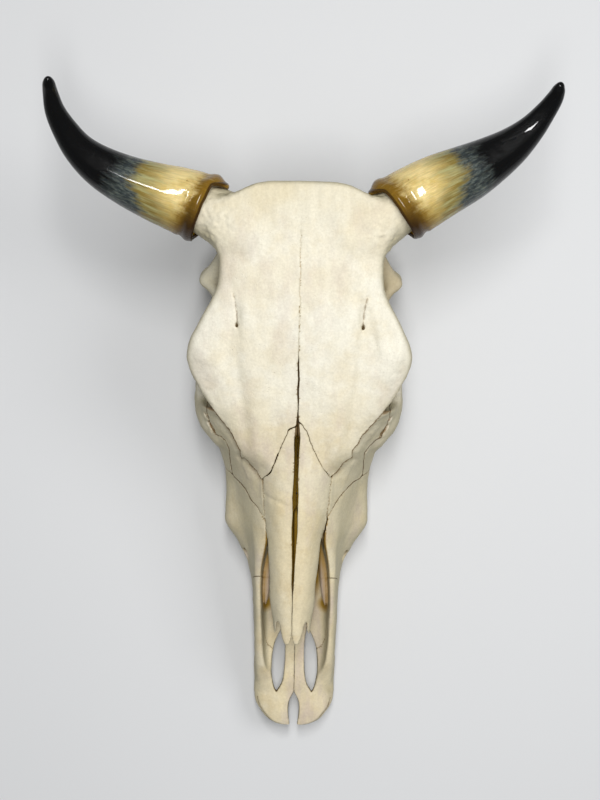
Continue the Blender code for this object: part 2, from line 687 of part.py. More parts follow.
# edge between nasal and frontal bone, then between frontal and lacrimal bone: x, s from above
NASION_EDGE = [(-1, 290), (3.5, 285), (8, 278.5), (12.6, 266), (18.3, 254.6), (27, 241.5)]
BROW_EDGE = [(30, 239), (36, 243), (44, 253), (48.3, 256), (55, 270.5), (65, 284.5), (72, 293), (81, 304), (92, 316)]
# lower edge of the lacrimal bone: s, z from the side
CHEEK_EDGE = [(203, 104), (215, 91), (226, 84), (235, 76), (241, 74), (247, 81), (260, 88), (270, 91), (290, 90)]
OCCIPITAL = [
    ("side", [(441, -20), (560, -20), (560, 112), (460, 112), (457, 100), (450, 70), (441, 52)], WIDE),
    ("plan", [(-21, 398), (21, 398), (21, 470), (-21, 470)], (-20, 74)),
]
PARIETAL = [
    ("side", [(386, 99), (560, 99), (560, 138), (425, 131), (386, 124)], WIDE),
]
SPHENOID = [
    ("side", [(318, 0), (398, 0), (398, 99), (318, 99)], (-62, 62)),
]
FRONTAL = [
    ("plan", NASION_EDGE + BROW_EDGE + [(140, 316), (140, 560), (-1, 560)], (99, 230)),
    ("plan", [(70, 325), (140, 325), (140, 375), (70, 375)], (114, 230)),
]
NASAL = [
    ("plan", [(-1, 70), (29.6, 70), (29.6, 239)] + NASION_EDGE[::-1], (78, 200)),
]
LACRIMAL = [
    ("side", CHEEK_EDGE + [(318, 92), (318, 200), (203, 200)], (30, 140)),
]
ZYGOMATIC = [
    ("side", [(243, 64), (256, 57), (292, 56), (330, 56), (392, 62), (380, 86), (372, 120), (318, 120), (318, 92)]
     + CHEEK_EDGE[:3:-1], (54, 140)),
]
TEMPORAL = [
    ("plan", [(18, 398), (62, 398), (62, 360), (140, 360), (140, 500), (18, 500)], (-20, 120)),
]
PALATINE = [
    ("plan", [(-1, 218), (26, 222), (33, 262), (40, 318), (40, 330), (-1, 330)], (0, 99)),
]
PREMAXILLA = [
    ("side", [(-10, 0), (45, 0), (62, 30), (163, 86), (120, 110), (60, 78), (-10, 60)], (-1, 140)),
]


def bones():
    """Part the whole bone along its sutures; returns name and object pairs."""
    rest = whole_bone()
    out = []
    for name, rows in (("occipital", OCCIPITAL), ("parietal", PARIETAL), ("sphenoid", SPHENOID)):
        piece, rest = take(rest, rows)
        out.append((name, piece))
    half = right_half(rest)
    turned = mirrored(rest, "turned")
    other = right_half(turned)
    remove(turned)
    remove(rest)
    paired = (
        ("nasal", NASAL),
        ("lacrimal", LACRIMAL),
        ("zygomatic", ZYGOMATIC),
        ("temporal", TEMPORAL),
        ("palatine", PALATINE),
        ("premaxilla", PREMAXILLA),
    )
    right, half = take(half, FRONTAL)
    left, other = take(other, FRONTAL)
    remove(other)
    out.append(("frontal_r", clear_of_sheath(right, "r")))
    left = clear_of_sheath(left, "l")
    out.append(("frontal_l", mirrored(left, "frontal_l")))
    remove(left)
    for name, rows in paired:
        piece, half = take(half, rows)
        out += both_sides(name, piece)
    out += both_sides("maxilla", keep_largest(half))
    return out


def right_half(obj):
    """The half of a body right of the middle plane, less half a suture."""
    side = prism([(HALF_SUTURE, -30), (150, -30), (150, 600), (HALF_SUTURE, 600)], (-30, 260), "plan", 0.0)
    out = boolean(obj, side, "INTERSECT")
    remove(side)
    return out


def clear_of_sheath(piece, side):
    """Trim the horn core where thinning its mesh has left it in the sheath's wall."""
    cutter = sheath(side, SUTURE)
    out = keep_largest(boolean(piece, cutter, "DIFFERENCE"))
    remove(cutter)
    remove(piece)
    return out


def mirrored(obj, name):
    """Mirror image of an object across the middle plane."""
    out = new_object(name, obj.data.copy())
    for vertex in out.data.vertices:
        vertex.co.x = -vertex.co.x
    out.data.flip_normals()
    return out


def both_sides(name, piece):
    """The piece on the right and its mirror image on the left."""
    return [(name + "_r", piece), (name + "_l", mirrored(piece, name))]


def stand_flat(obj):
    """Cut the object off at the plane it rests on."""
    bm = bmesh.new()
    bm.from_mesh(obj.data)
    everything = bm.verts[:] + bm.edges[:] + bm.faces[:]
    cut = bmesh.ops.bisect_plane(
        bm, geom=everything, dist=1e-6, plane_co=(0, 0, 0), plane_no=(0, 0, -1), clear_outer=True
    )
    edges = [e for e in cut["geom_cut"] if isinstance(e, bmesh.types.BMEdge)]
    bmesh.ops.holes_fill(bm, edges=edges, sides=0)
    bmesh.ops.triangulate(bm, faces=bm.faces[:])
    bm.to_mesh(obj.data)
    bm.free()


def rings(path, radii, facing):
    """Rings of points round a path, square to it but for the first, which faces as the rim does."""
    centres = path[:, :3]
    ahead = np.gradient(centres, axis=0)
    ahead /= np.linalg.norm(ahead, axis=1)[:, None]
    ahead[0] = facing
    ahead[1] = (ahead[0] + ahead[2]) / 2
    ahead[:2] /= np.linalg.norm(ahead[:2], axis=1)[:, None]
    across = np.cross(ahead, (0, 0, 1.0))
    across /= np.linalg.norm(across, axis=1)[:, None]
    top = np.cross(across, ahead)
    angle = np.arange(HORN_SIDES) * 2 * math.pi / HORN_SIDES
    turn = across[:, None] * np.cos(angle)[None, :, None] + top[:, None] * np.sin(angle)[None, :, None]
    return centres[:, None] + turn * radii[:, None, None]


def sheath(side, grow=0.0):
    """Hollow horn sheath, with the socket that holds the core; grow thickens its wall."""
    n = HORN_SIDES
    facing = np.array(RIM_FACING[side])
    horn = HORNS[side]
    path = smooth_path([row[0] for row in horn], [row[1] for row in horn], 2)
    core = smooth_path(core_line(side)[2:], CORE_RADII[2:], 2)
    outer = rings(path, path[:, 3] + grow, facing)
    inner = rings(core, core[:, 3] + HORN_CLEARANCE - grow, facing)
    outer[0] -= grow * facing
    inner[0] -= grow * facing
    levels = np.concatenate([inner[::-1], outer], 0)
    end = core[-1, :3] + (core[-1, :3] - core[-2, :3]) * 2.1
    tip = path[-1, :3] + (path[-1, :3] - path[-2, :3]) * 0.8
    points = np.vstack([levels.reshape(-1, 3), end, tip])
    last = (len(levels) - 1) * n
    faces = []
    for j in range(n):
        k = (j + 1) % n
        for i in range(0, last, n):
            faces.append((i + j, i + n + j, i + n + k, i + k))
        faces.append((len(points) - 2, j, k))
        faces.append((last + j, len(points) - 1, last + k))
    mesh = bpy.data.meshes.new("sheath")
    mesh.from_pydata((points * MM).tolist(), [], faces)
    bm = bmesh.new()
    bm.from_mesh(mesh)
    bmesh.ops.recalc_face_normals(bm, faces=bm.faces[:])
    bm.to_mesh(mesh)
    bm.free()
    return new_object("horn_sheath", mesh)


def vomer():
    """Thin upright blade along the middle of the nose, its top edge rising to the back."""
    foot = curve(np.array([98.0, 130, 170, 206]), (80, 110, 160, 240), (36, 41, 45, 48)) + 1.2
    s = (98.0, 130, 170, 206)
    top = (46, 58, 66, 72)
    width = (1.6, 2.2, 2.6, 3.0)
    points = []
    for i in range(4):
        for x, z in ((-width[i], foot[i]), (width[i], foot[i]), (width[i] * 1.3, top[i]), (-width[i] * 1.3, top[i])):
            points.append((x * MM, s[i] * MM, z * MM))
    faces = [(0, 1, 2, 3), (15, 14, 13, 12)]
    for i in range(3):
        for j in range(4):
            k = (j + 1) % 4
            a = i * 4
            faces.append((a + k, a + j, a + 4 + j, a + 4 + k))
    mesh = bpy.data.meshes.new("vomer")
    mesh.from_pydata(points, [], faces)
    return new_object("vomer", mesh)


def material(name, colour, roughness):
    """Plain Principled material."""
    out = bpy.data.materials.new(name)
    out.use_nodes = True
    shader = out.node_tree.nodes["Principled BSDF"]
    shader.inputs["Base Color"].default_value = colour
    shader.inputs["Roughness"].default_value = roughness
    shader.inputs["Metallic"].default_value = 0.0
    return out


def finish(pieces):
    """Name and colour the pieces and put the origin under the middle of the whole."""
    points = np.array([v.co for _, obj in pieces for v in obj.data.vertices])
    low = points.min(0)
    high = points.max(0)
    shift = ((low[0] + high[0]) / 2, (low[1] + high[1]) / 2, low[2])
    for name, obj in pieces:
        obj.name = name
        obj.data.name = name
        for vertex in obj.data.vertices:
            vertex.co.x -= shift[0]
            vertex.co.y -= shift[1]
            vertex.co.z -= shift[2]
        kind = name.split("_")[0]
        obj.data.materials.clear()
        obj.data.shade_smooth()
        obj.data.set_sharp_from_angle(angle=SHARP_ANGLE)
        if kind == "horn":
            obj.data.materials.append(material(name, HORN_COLOUR, 0.18))
        else:
            obj.data.materials.append(material(name, BONE_SHADES.get(kind, BONE), 0.62))


def build():
    """The whole part."""
    for obj in list(bpy.data.objects):
        bpy.data.objects.remove(obj)
    pieces = bones()
    for name, obj in pieces:
        if name in ("maxilla_r", "maxilla_l", "occipital"):
            stand_flat(obj)
    pieces.append(("vomer", vomer()))
    pieces.append(("horn_sheath_r", sheath("r")))
    left = sheath("l")
    pieces.append(("horn_sheath_l", mirrored(left, "horn_sheath_l")))
    remove(left)
    finish(pieces)


build()
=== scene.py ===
"""Cow skull with polished horns: the looks of its bones, teeth and horns as surfaces worked out with numpy.

Tables are in millimetres: x is the distance from the middle plane, s the distance back from the tip
of the nose and z the height over the floor.
"""
import math

import bpy
import numpy as np
from bpy.props import FloatProperty, FloatVectorProperty, IntProperty, PointerProperty
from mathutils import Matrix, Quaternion, Vector


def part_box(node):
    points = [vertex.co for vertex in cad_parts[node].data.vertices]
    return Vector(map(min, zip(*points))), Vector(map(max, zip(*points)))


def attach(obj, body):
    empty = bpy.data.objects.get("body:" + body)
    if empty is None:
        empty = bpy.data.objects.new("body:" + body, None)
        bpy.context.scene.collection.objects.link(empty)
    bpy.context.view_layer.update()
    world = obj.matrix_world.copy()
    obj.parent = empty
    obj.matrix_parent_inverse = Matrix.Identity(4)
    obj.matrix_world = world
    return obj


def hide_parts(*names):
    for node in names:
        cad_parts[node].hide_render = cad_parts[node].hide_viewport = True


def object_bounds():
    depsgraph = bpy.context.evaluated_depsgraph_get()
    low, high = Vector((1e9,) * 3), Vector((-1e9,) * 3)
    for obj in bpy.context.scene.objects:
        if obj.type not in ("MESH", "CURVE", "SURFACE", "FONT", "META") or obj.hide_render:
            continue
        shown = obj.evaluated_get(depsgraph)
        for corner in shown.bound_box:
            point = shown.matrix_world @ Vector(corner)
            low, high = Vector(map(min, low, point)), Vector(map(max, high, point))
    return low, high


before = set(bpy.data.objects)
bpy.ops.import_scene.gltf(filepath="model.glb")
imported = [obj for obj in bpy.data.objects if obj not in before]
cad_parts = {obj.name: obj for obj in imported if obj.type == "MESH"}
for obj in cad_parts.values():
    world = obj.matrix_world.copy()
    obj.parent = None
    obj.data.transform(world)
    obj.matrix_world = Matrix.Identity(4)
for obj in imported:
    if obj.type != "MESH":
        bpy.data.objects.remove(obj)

bl_info = {
    "name": "Cow skull",
    "version": (1, 0, 0),
    "blender": (4, 5, 0),
    "location": "3D View > Sidebar > Skull",
    "description": "Bones, cheek teeth and polished horns of a cow's skull",
    "category": "Add Mesh",
}

MM = 0.001
CAD_BOX = [list(corner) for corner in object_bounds()]
SIGN = {"r": 1.0, "l": -1.0}
# s of the front end of the vomer and its length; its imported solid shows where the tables' frame lies
BLADE_START = 98.0
BLADE_LENGTH = 108
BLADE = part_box("vomer")
OFFSET = np.array([(BLADE[0].x + BLADE[1].x) / 2, BLADE[0].y - BLADE_START * MM, 0.0])
SHARP_TURN = 42.0

# camera: place over the skull, mm, turn about the vertical, degrees, and lens, mm
CAMERA_X = 1.3
CAMERA_S = 305.6
CAMERA_Z = 1600.0
CAMERA_TURN = 1.17
LENS = 75.4

# floor: half its width and its height, m
FLOOR_HALF = 40.0
FLOOR_Z = -0.0003
# lamps that the horns mirror: side, place, length in m, turn in degrees; and the width of both
GLEAMS = (("l", (-0.27, 0.77, 1.85), 1.0, -17.8), ("r", (0.0, 0.44, 1.85), 0.8, 30.8))
GLEAM_WIDTH = 0.18
GLEAM_AIM = (0, 0.2, 0.16)
# colour of the even light
SKY = (0.93, 0.96, 1.0, 1)

# median outline of the roof: s, z
CREST_S = (60, 83, 100, 130, 160, 200, 239, 281, 310, 342, 380, 420, 450, 472, 484, 496)
CREST_Z = (78, 85, 90.5, 98.5, 105.5, 115, 125, 137.5, 147, 157.5, 168.5, 178.5, 185.5, 189.5, 190, 188)
# half-width of the nasal bones, and of the roof behind them
NASAL_S = (78, 95, 106, 125, 140, 156, 168, 179, 200, 220, 239, 300)
NASAL_X = (15, 16.5, 17.4, 20.2, 20.9, 22.2, 23, 23.9, 26.8, 29.5, 30.5, 31)
ROOF_S = (200, 239, 257, 283, 305, 319, 331, 342, 352, 375, 390, 404, 422, 440, 455, 480, 500)
ROOF_X = (22, 31, 47, 63, 81, 89.5, 95.5, 98, 96, 86, 77, 71.6, 69.5, 70.5, 72, 70, 66)
# swellings of the forehead: height, x, slant of that x along s, width, s, length, power of the bell along s
SWELLINGS = (
    (3.2, 57, 0, 9, 345, 30, 2),
    (2.0, 54, 0, 4, 376, 14, 2),
    (2.2, 20, 0, 9, 258, 24, 2),
    (-0.7, 76, 0, 12, 352, 22, 2),
    (1.3, 49, 0.13, 5.5, 300, 32, 4),
    (-0.9, 36, 0, 7, 290, 34, 4),
)
# front edge of the nasal bones
TIP_X = (0, 0.8, 2, 4, 6, 8, 9.5, 10.8, 11.8, 13, 14, 15.2, 16, 17, 18, 22, 30)
TIP_S = (93, 88.5, 85.5, 83.5, 84.5, 88.5, 93, 101, 105, 105, 98, 90.5, 92, 97, 102, 112, 116)
# half-width of the front of the upper jaw
FRONT_S = (-2, 0.3, 1.2, 3, 5, 8, 12.6, 17.5, 21, 25, 29, 34, 43, 60, 75)
FRONT_X = (3, 5, 12.3, 18, 22.5, 26.5, 30, 34, 35.8, 36.8, 36.9, 36.4, 35.5, 36.6, 37.4)

# cross-sections of the face: s, then six pairs of z and half-width from the foot up
FACE = (
    (40, (10, 34), (24, 35.4), (33, 35.5), (38, 35), (41, 34), (44, 32)),
    (60, (10, 35), (28, 36.4), (38, 36.7), (45, 36), (51, 34.5), (56, 32.5)),
    (100, (10, 36), (30, 37.8), (42, 38.4), (54, 37.5), (61, 36), (66, 34)),
    (130, (10, 37), (32, 39), (46, 39.6), (60, 38.5), (71, 36.5), (77, 34.5)),
    (152, (10, 41), (32, 43), (46, 43.2), (62, 40.5), (76, 37.5), (85, 34.5)),
    (172, (10, 46), (32, 51), (47, 52.0), (66, 43), (84, 36.5), (94, 32)),
    (197, (10, 55), (34, 60), (50, 66), (68, 51), (88, 38.5), (103, 29)),
    (223, (10, 58), (38, 61), (55, 65), (74, 54), (92, 43.5), (109, 30)),
    (239, (10, 60), (42, 62), (60, 66), (80, 58), (98, 46), (113, 32)),
    (257, (10, 60), (48, 63), (70, 70), (88, 65), (105, 57), (120, 47)),
    (272, (10, 56), (50, 62), (76, 77), (92, 75), (109, 66), (123, 56)),
    (283, (10, 48), (52, 58), (80, 85), (98, 81), (112, 73), (126, 63)),
    (300, (10, 40), (52, 50), (78, 89), (98, 88), (116, 84), (134, 80)),
    (345, (10, 40), (52, 50), (74, 89), (98, 93), (124, 95), (142, 96)),
)

# cross-sections of the braincase and of the walls between the orbits
CORE = (
    (262, (30, 24), (60, 40), (75, 44), (95, 38), (115, 36), (130, 40)),
    (285, (28, 21), (58, 44), (70, 48), (88, 36), (112, 33), (134, 42)),
    (300, (26, 20), (55, 44), (68, 48), (85, 34), (110, 32), (138, 44)),
    (325, (26, 20), (48, 24), (66, 30), (85, 32), (110, 34), (145, 50)),
    (345, (30, 21), (48, 24), (66, 32), (90, 38), (115, 42), (150, 58)),
    (365, (44, 24), (56, 32), (72, 42), (95, 47), (120, 50), (155, 62)),
    (385, (48, 28), (60, 40), (78, 50), (98, 52), (122, 53), (160, 64)),
    (404, (48, 32), (60, 46), (78, 55), (98, 56), (124, 56), (164, 66)),
    (425, (46, 34), (58, 50), (78, 60), (98, 59), (125, 59), (168, 67)),
    (445, (44, 32), (58, 50), (78, 62), (98, 62), (128, 62), (172, 70)),
    (465, (44, 28), (60, 46), (78, 60), (98, 64), (130, 66), (176, 72)),
    (492, (44, 24), (60, 40), (78, 56), (98, 62), (132, 66), (178, 70)),
)

# cheek teeth: s of the middle, length, width, x of the middle
TEETH = (
    (119, 13, 12, 29.6),
    (134.5, 16, 15, 30.4),
    (151, 16, 18, 32.4),
    (171, 23, 21, 37.6),
    (196.5, 26.5, 22, 42.5),
    (225, 28.5, 21, 45.5),
)
# teeth whose middle lies further back than this are molars, with two lobes
FIRST_MOLAR = 160
# height at which the teeth leave the bone
TOOTH_ROOT = 34.0
# shares of a tooth's second parameter where its wall and its biting face begin
WALL_START = 0.06
BITE_START = 0.58

# each horn from the sheath's rim: x s z of its middle line with the radius of the sheath there
HORNS = {
    "r": (
        ((77, 467, 162), 28.8),
        ((96, 479, 163.5), 29.0),
        ((116.5, 490.5, 165.5), 27.4),
        ((141.3, 502.5, 169), 24.2),
        ((161.8, 514.3, 173), 19.9),
        ((177.8, 525.4, 177.5), 16.0),
        ((192, 538.6, 182.5), 12.0),
        ((203, 552.4, 188.5), 9.0),
        ((210, 563.3, 195), 7.1),
        ((213, 572, 203), 4.8),
    ),
    "l": (
        ((80, 466, 162), 29.3),
        ((101, 473.5, 163.6), 28.2),
        ((124.8, 480.4, 167.3), 25.0),
        ((150.2, 489.3, 172), 21.2),
        ((172.8, 500.5, 177.5), 17.6),
        ((189.5, 513.6, 184), 13.8),
        ((201, 529.0, 191), 10.9),
        ((208.4, 543, 199), 8.6),
        ((211.2, 556.2, 208), 6.5),
        ((211.6, 565, 219), 5.0),
    ),
}
# direction in which the sheath's rim faces away from the skull
RIM_FACING = {"r": (0.80, 0.60, 0.0), "l": (0.93, 0.36, 0.0)}
# middle line and radius of the horn core, from inside the frontal bone
CORE_ROOT = ((44, 452, 160), (61, 457.5, 161))
CORE_RADII = (25, 24.5, 22.4, 20.0, 15.0)

# how far the rounded tip of a sheath goes on beyond its middle line, and depth of its socket, mm
TIP_LENGTH = 3.4
SOCKET = 44
# how much steeper the forward side of a sheath falls away from the collar
FRONT_TAPER = {"r": 0.0, "l": 0.06}
# how far the rim stands out from the start of the middle line, mm
RIM_OUT = {"r": 5.5, "l": 6.0}
# tongues of the rim that reach back to the skull: angle round the horn, millimetres, spread in degrees
RIM_REACH = {
    "r": ((168, 9.5, 31), (275, 3, 45)),
    "l": ((170, 11, 31), (275, 5, 45)),
}

# half-width of the inside of the nose at the crest of its side walls
INNER_S = (40, 46, 55, 70, 90, 120, 145, 156, 168, 179, 200, 230, 262, 290)
INNER_X = (19, 22.6, 26, 29.2, 30.6, 31.4, 30.8, 29.8, 27.8, 26.1, 26.8, 27, 22, 14)

# gap between the nasal bones and between the frontal bones: s, half-width, negative where they overlap
GAP_S = (60, 126, 132, 141, 158, 172, 193, 213, 233, 253, 269, 276, 284, 292, 298, 304, 312, 335, 343, 352,
         438, 450, 460)
GAP_X = (0.3, 0.25, 0.45, 1.1, 1.5, 1.9, 2.6, 2.6, 2.3, 2.2, 2.6, 2.4, 1.6, 0.9, 0.35, 0.5, 0.9, 0.8, 0.2,
         0.0, -0.05, -0.9, -2.4)
# how faint the seam between the frontal bones is: s, millimetres added to the distance from it
FAINT_S = (343, 352, 372, 395, 410, 440, 449, 456)
FAINT_MM = (0.0, 0.10, 0.30, 0.34, 0.20, 0.22, 0.5, 9.0)

# thin scroll of bone in each half of the nose
SCROLL = ((27.6, 116, 57), (27.2, 123, 57.5), (26.8, 134, 58.5), (26, 150, 60), (24, 168, 60), (21, 188, 57),
          (17, 215, 58))
SCROLL_RADII = (0.6, 4.0, 7.0, 8.6, 9.0, 9.0, 9.0)
# middle of the dark pocket under the scroll's tip, and its half-sizes
POCKET = (27.5, 117, 46)
POCKET_SIZE = (6, 6, 11)

# sideways lean of the roof's middle line, and of the front of the upper jaw: s, x
ROOF_LEAN = ((80, 130, 160, 195, 235, 270, 300, 340, 400, 447, 500),
             (-1.9, -1.9, -1.6, -1.1, -0.85, -0.5, -0.3, -0.3, -0.5, -0.8, -0.5))
JAW_LEAN = ((0, 90, 150), (1.1, 1.1, 0.0))

# nerve slit over the orbit: x, s
SLIT = ((57.4, 395), (56.0, 388), (54.9, 381), (54.4, 374), (54.7, 368))
# ridges of the lacrimal bone: x, s; the last follows the edge of the nasal bone
RIDGES = (((49.5, 251), (46.5, 243), (43.5, 235)), ((78, 275.5), (68, 271.7), (62, 264), (60.5, 253)),
          ((31.5, 236), (30.9, 219), (28.6, 203)))
# dent across the left nasal bone
CREASE = ((28, 219.6), (19, 216), (10, 212.5))

# edges between bones as seen from above, x and s: nasal to frontal, then frontal to lacrimal
NASION_EDGE = {
    "r": [(-3, 290), (0, 287), (3.5, 284.4), (8, 278.6), (12.6, 266.4), (18.2, 254.9), (22.8, 246),
          (27.4, 241.4)],
    "l": [(-3, 287), (0, 284), (3.5, 281.9), (7.8, 279.2), (10.3, 273), (14.5, 263.1), (18.8, 252.3),
          (23, 241.4)],
}
BROW_EDGE = {
    "r": [(30.2, 237.8), (36.5, 243), (40.6, 250.4), (44.1, 254.1), (48.4, 255), (48.6, 262.3), (55, 271.4),
          (59.2, 278.5), (65.2, 285.7), (72.6, 294.6), (81.6, 305.5), (88.5, 315.4)],
    "l": [(31.1, 234.6), (35.7, 241.5), (42.1, 248.6), (47.5, 253.9), (49.3, 252.9), (50.4, 254.2),
          (51, 260.2), (60, 277.9), (71, 290.9), (80.8, 303.2), (88, 311.2)],
}
# lower edge of the lacrimal bone from above
CHEEK_EDGE = {
    "r": [(27.6, 200.6), (37.3, 217.3), (43.5, 224.5), (49.8, 231.7), (57.3, 236), (59.6, 240.4),
          (59.9, 252.8), (60.6, 260.3), (64.6, 266.7), (72.7, 273), (78.6, 275)],
    "l": [(29.5, 200.6), (34.5, 208), (40.1, 214.6), (46.7, 226.1), (52.5, 231), (58.2, 236.2), (60, 245.5),
          (61.3, 259.5), (64.9, 268.6), (70.4, 274), (78, 275)],
}


def ramp(value, start, width):
    """Share that grows from 0 at the start to 1 a width further on; a negative width turns it round."""
    return np.clip((value - start) / width, 0, 1)


def bell(value, centre, width, power=2):
    """Bell curve: e to minus the distance from the centre over the width, raised to an even power."""
    return np.exp(-((value - centre) / width) ** power)


def hill(a, b, centre, size):
    """Bump of 1 at its centre: e to minus the squares of both distances over the sizes."""
    return np.exp(-((a - centre[0]) / size[0]) ** 2 - ((b - centre[1]) / size[1]) ** 2)


def way_along(path):
    """Distance of each point of a path from its start, along it."""
    return np.concatenate([[0], np.cumsum(np.linalg.norm(np.diff(path, axis=0), axis=1))])


def unit(vectors):
    """The directions of vectors."""
    return vectors / np.linalg.norm(vectors, axis=-1)[..., None]


def angles(around):
    """Angles evenly round a ring."""
    return np.arange(around) * 2 * math.pi / around


def from_angle(angle, centre):
    """Angle from a centre, between minus and plus half a turn."""
    return np.angle(np.exp(1j * (angle - centre)))


def curve(t, knots, values):
    """Smooth curve through points that never overshoots them."""
    k = np.asarray(knots, float)
    v = np.asarray(values, float)
    d = np.diff(v) / np.diff(k)
    m = np.zeros_like(v)
    product = d[:-1] * d[1:]
    rising = product > 0
    m[1:-1] = np.where(rising, 2 * product / np.where(rising, d[:-1] + d[1:], 1.0), 0.0)
    m[0] = d[0]
    m[-1] = d[-1]
    t = np.clip(t, k[0], k[-1])
    i = np.clip(np.searchsorted(k, t, side="right") - 1, 0, len(k) - 2)
    h = k[i + 1] - k[i]
    u = (t - k[i]) / h
    start = v[i] * (1 + 2 * u) * (1 - u) ** 2 + m[i] * h * u * (1 - u) ** 2
    end = v[i + 1] * u * u * (3 - 2 * u) + m[i + 1] * h * u * u * (u - 1)
    return start + end


def wall(s, z, sections):
    """Half-width of a body given by cross-sections, at each s and z."""
    stations = [row[0] for row in sections]
    levels = range(1, len(sections[0]))
    heights, widths = (np.stack([curve(s, stations, [row[i][k] for row in sections]) for i in levels])
                       for k in (0, 1))
    return np.stack([curve(z, heights[:, j], widths[:, j]) for j in range(len(s))])


def smin(a, b, r):
    """Smaller of two distances, with a fillet of about r."""
    h = np.maximum(r - np.abs(a - b), 0.0) / r
    return np.minimum(a, b) - h * h * r * 0.25


def smax(a, b, r):
    """Larger of two distances, with a round of about r."""
    h = np.maximum(r - np.abs(a - b), 0.0) / r
    return np.maximum(a, b) + h * h * r * 0.25


def steepness(surface, step):
    """Factor that turns a difference along the third axis into a distance from the surface."""
    g = np.gradient(surface, step)
    return 1 / np.sqrt(1 + g[0] ** 2 + g[1] ** 2)


class Grid:
    """Points of half the space round the skull, from the middle plane outwards, one step apart."""

    def __init__(self, step):
        self.step = step
        self.x = np.arange(0, 140, step)
        self.s = np.arange(-6, 512, step)
        self.z = np.arange(-6, 214, step)
        self.X = self.x[:, None, None]
        self.S = self.s[None, :, None]
        self.Z = self.z[None, None, :]

    def box(self, low, high):
        """Slices of the grid within a box."""
        ends = [np.searchsorted(axis, (a, b)) for axis, a, b in zip((self.x, self.s, self.z), low, high)]
        return tuple(slice(max(0, int(i) - 1), int(j) + 1) for i, j in ends)

    def blend(self, field, low, high, r, shape, sign=1):
        """Join a shape to the field within a box, or cut it away where sign is -1."""
        part = self.box(low, high)
        there = shape(self.x[part[0], None, None], self.s[None, part[1], None], self.z[None, None, part[2]])
        field[part] = smin(field[part], there, r) if sign > 0 else smax(field[part], -there, r)

    def blend_all(self, field, parts, sign=1):
        """Join, or cut away, every part of a table."""
        for part in parts:
            self.blend(field, *part, sign)


def knob(centre, radii, turn=0.0):
    """Ellipsoid; turn is its tilt in degrees in the side view."""
    c = math.cos(math.radians(turn))
    n = math.sin(math.radians(turn))

    def shape(x, s, z):
        """k (k - 1) / m, k being the distance over the radii and m that over their squares."""
        x = x - centre[0]
        ds = (s - centre[1]) * c + (z - centre[2]) * n
        dz = (z - centre[2]) * c - (s - centre[1]) * n
        a, b, d = radii
        k0 = np.sqrt((x / a) ** 2 + (ds / b) ** 2 + (dz / d) ** 2)
        k1 = np.sqrt((x / a ** 2) ** 2 + (ds / b ** 2) ** 2 + (dz / d ** 2) ** 2)
        return k0 * (k0 - 1) / np.maximum(k1, 1e-6)

    return shape


def smooth_path(points, radii, parts=4):
    """Points and radii resampled along a Catmull-Rom curve."""
    p = np.array([list(q) + [r] for q, r in zip(points, radii)], float)
    e = np.vstack([2 * p[0] - p[1], p, 2 * p[-1] - p[-2]])
    out = []
    for i in range(1, len(e) - 2):
        for k in range(parts):
            t = k / parts
            line = 2 * e[i] + (e[i + 1] - e[i - 1]) * t
            bend = (2 * e[i - 1] - 5 * e[i] + 4 * e[i + 1] - e[i + 2]) * t * t
            twist = (3 * e[i] - e[i - 1] - 3 * e[i + 1] + e[i + 2]) * t ** 3
            out.append(0.5 * (line + bend + twist))
    out.append(p[-1])
    return np.array(out)


def limb(points, radii, squeeze=(1, 1, 1)):
    """Round bar along a smooth path, made thinner along an axis by its squeeze."""
    q = np.array(squeeze, float)
    path = smooth_path(points, radii)

    def shape(x, s, z):
        """Distance from the nearest point of the path, less the radius there."""
        out = None
        for a, b in zip(path[:-1], path[1:]):
            d = (b[:3] - a[:3]) * q
            px = (x - a[0]) * q[0]
            ps = (s - a[1]) * q[1]
            pz = (z - a[2]) * q[2]
            t = np.clip((px * d[0] + ps * d[1] + pz * d[2]) / (d @ d), 0, 1)
            r = a[3] + (b[3] - a[3]) * t
            dist = np.sqrt((px - t * d[0]) ** 2 + (ps - t * d[1]) ** 2 + (pz - t * d[2]) ** 2) - r
            out = dist if out is None else np.minimum(out, dist)
        return out / q.max()

    return shape


def roof_height(x, s):
    """Height of the upper surface: the crest, less the roll of the nose and the fall of the forehead.

    The roll and the fall are powers of the share of the half-width. Each swelling of the forehead is its
    height times e to minus the square of the distance in x and an even power of that in s, over its sizes.
    """
    x = x[:, None]
    s = s[None, :]
    half_nasal = curve(s, NASAL_S, NASAL_X)
    roll = curve(s, (83, 150, 200, 239), (11, 13, 14.5, 13))
    nasal = roll * np.clip(x / half_nasal, 0, 1) ** 2.6 + 0.75 * np.clip(x - half_nasal, 0, 14)
    fall = curve(s, (239, 283, 320, 342, 404, 450, 480), (9, 9.5, 10.5, 10, 8, 5, 4))
    brow = fall * np.clip(x / curve(s, ROOF_S, ROOF_X), 0, 1.2) ** 3.2
    for height, x0, slant, wide, s0, reach, power in SWELLINGS:
        brow += height * np.exp(-((x - x0 - slant * (s - s0)) / wide) ** 2 - ((s - s0) / reach) ** power)
    mix = ramp(s, 222, 40)
    mix = mix * mix * (3 - 2 * mix)
    return curve(s, CREST_S, CREST_Z) - nasal * (1 - mix) - brow * mix


def underside_height(x, s):
    """Height of the palate and of the edge that bears the teeth."""
    x = x[:, None]
    s = s[None, :]
    inner = curve(s, (40, 70, 105, 125, 200, 262), (22, 25, 27, 29, 32, 35))
    edge = curve(s, (0, 30, 60, 108, 116, 262, 270, 280, 292), (17, 17, 20, 24, 25, 25, 32, 52, 66))
    vault = curve(s, (20, 60, 110, 160, 262, 285), (23, 27, 31, 35, 37, 40))
    t = ramp(x, inner - 9, 9)
    return vault + (edge - vault) * t * t * (3 - 2 * t)


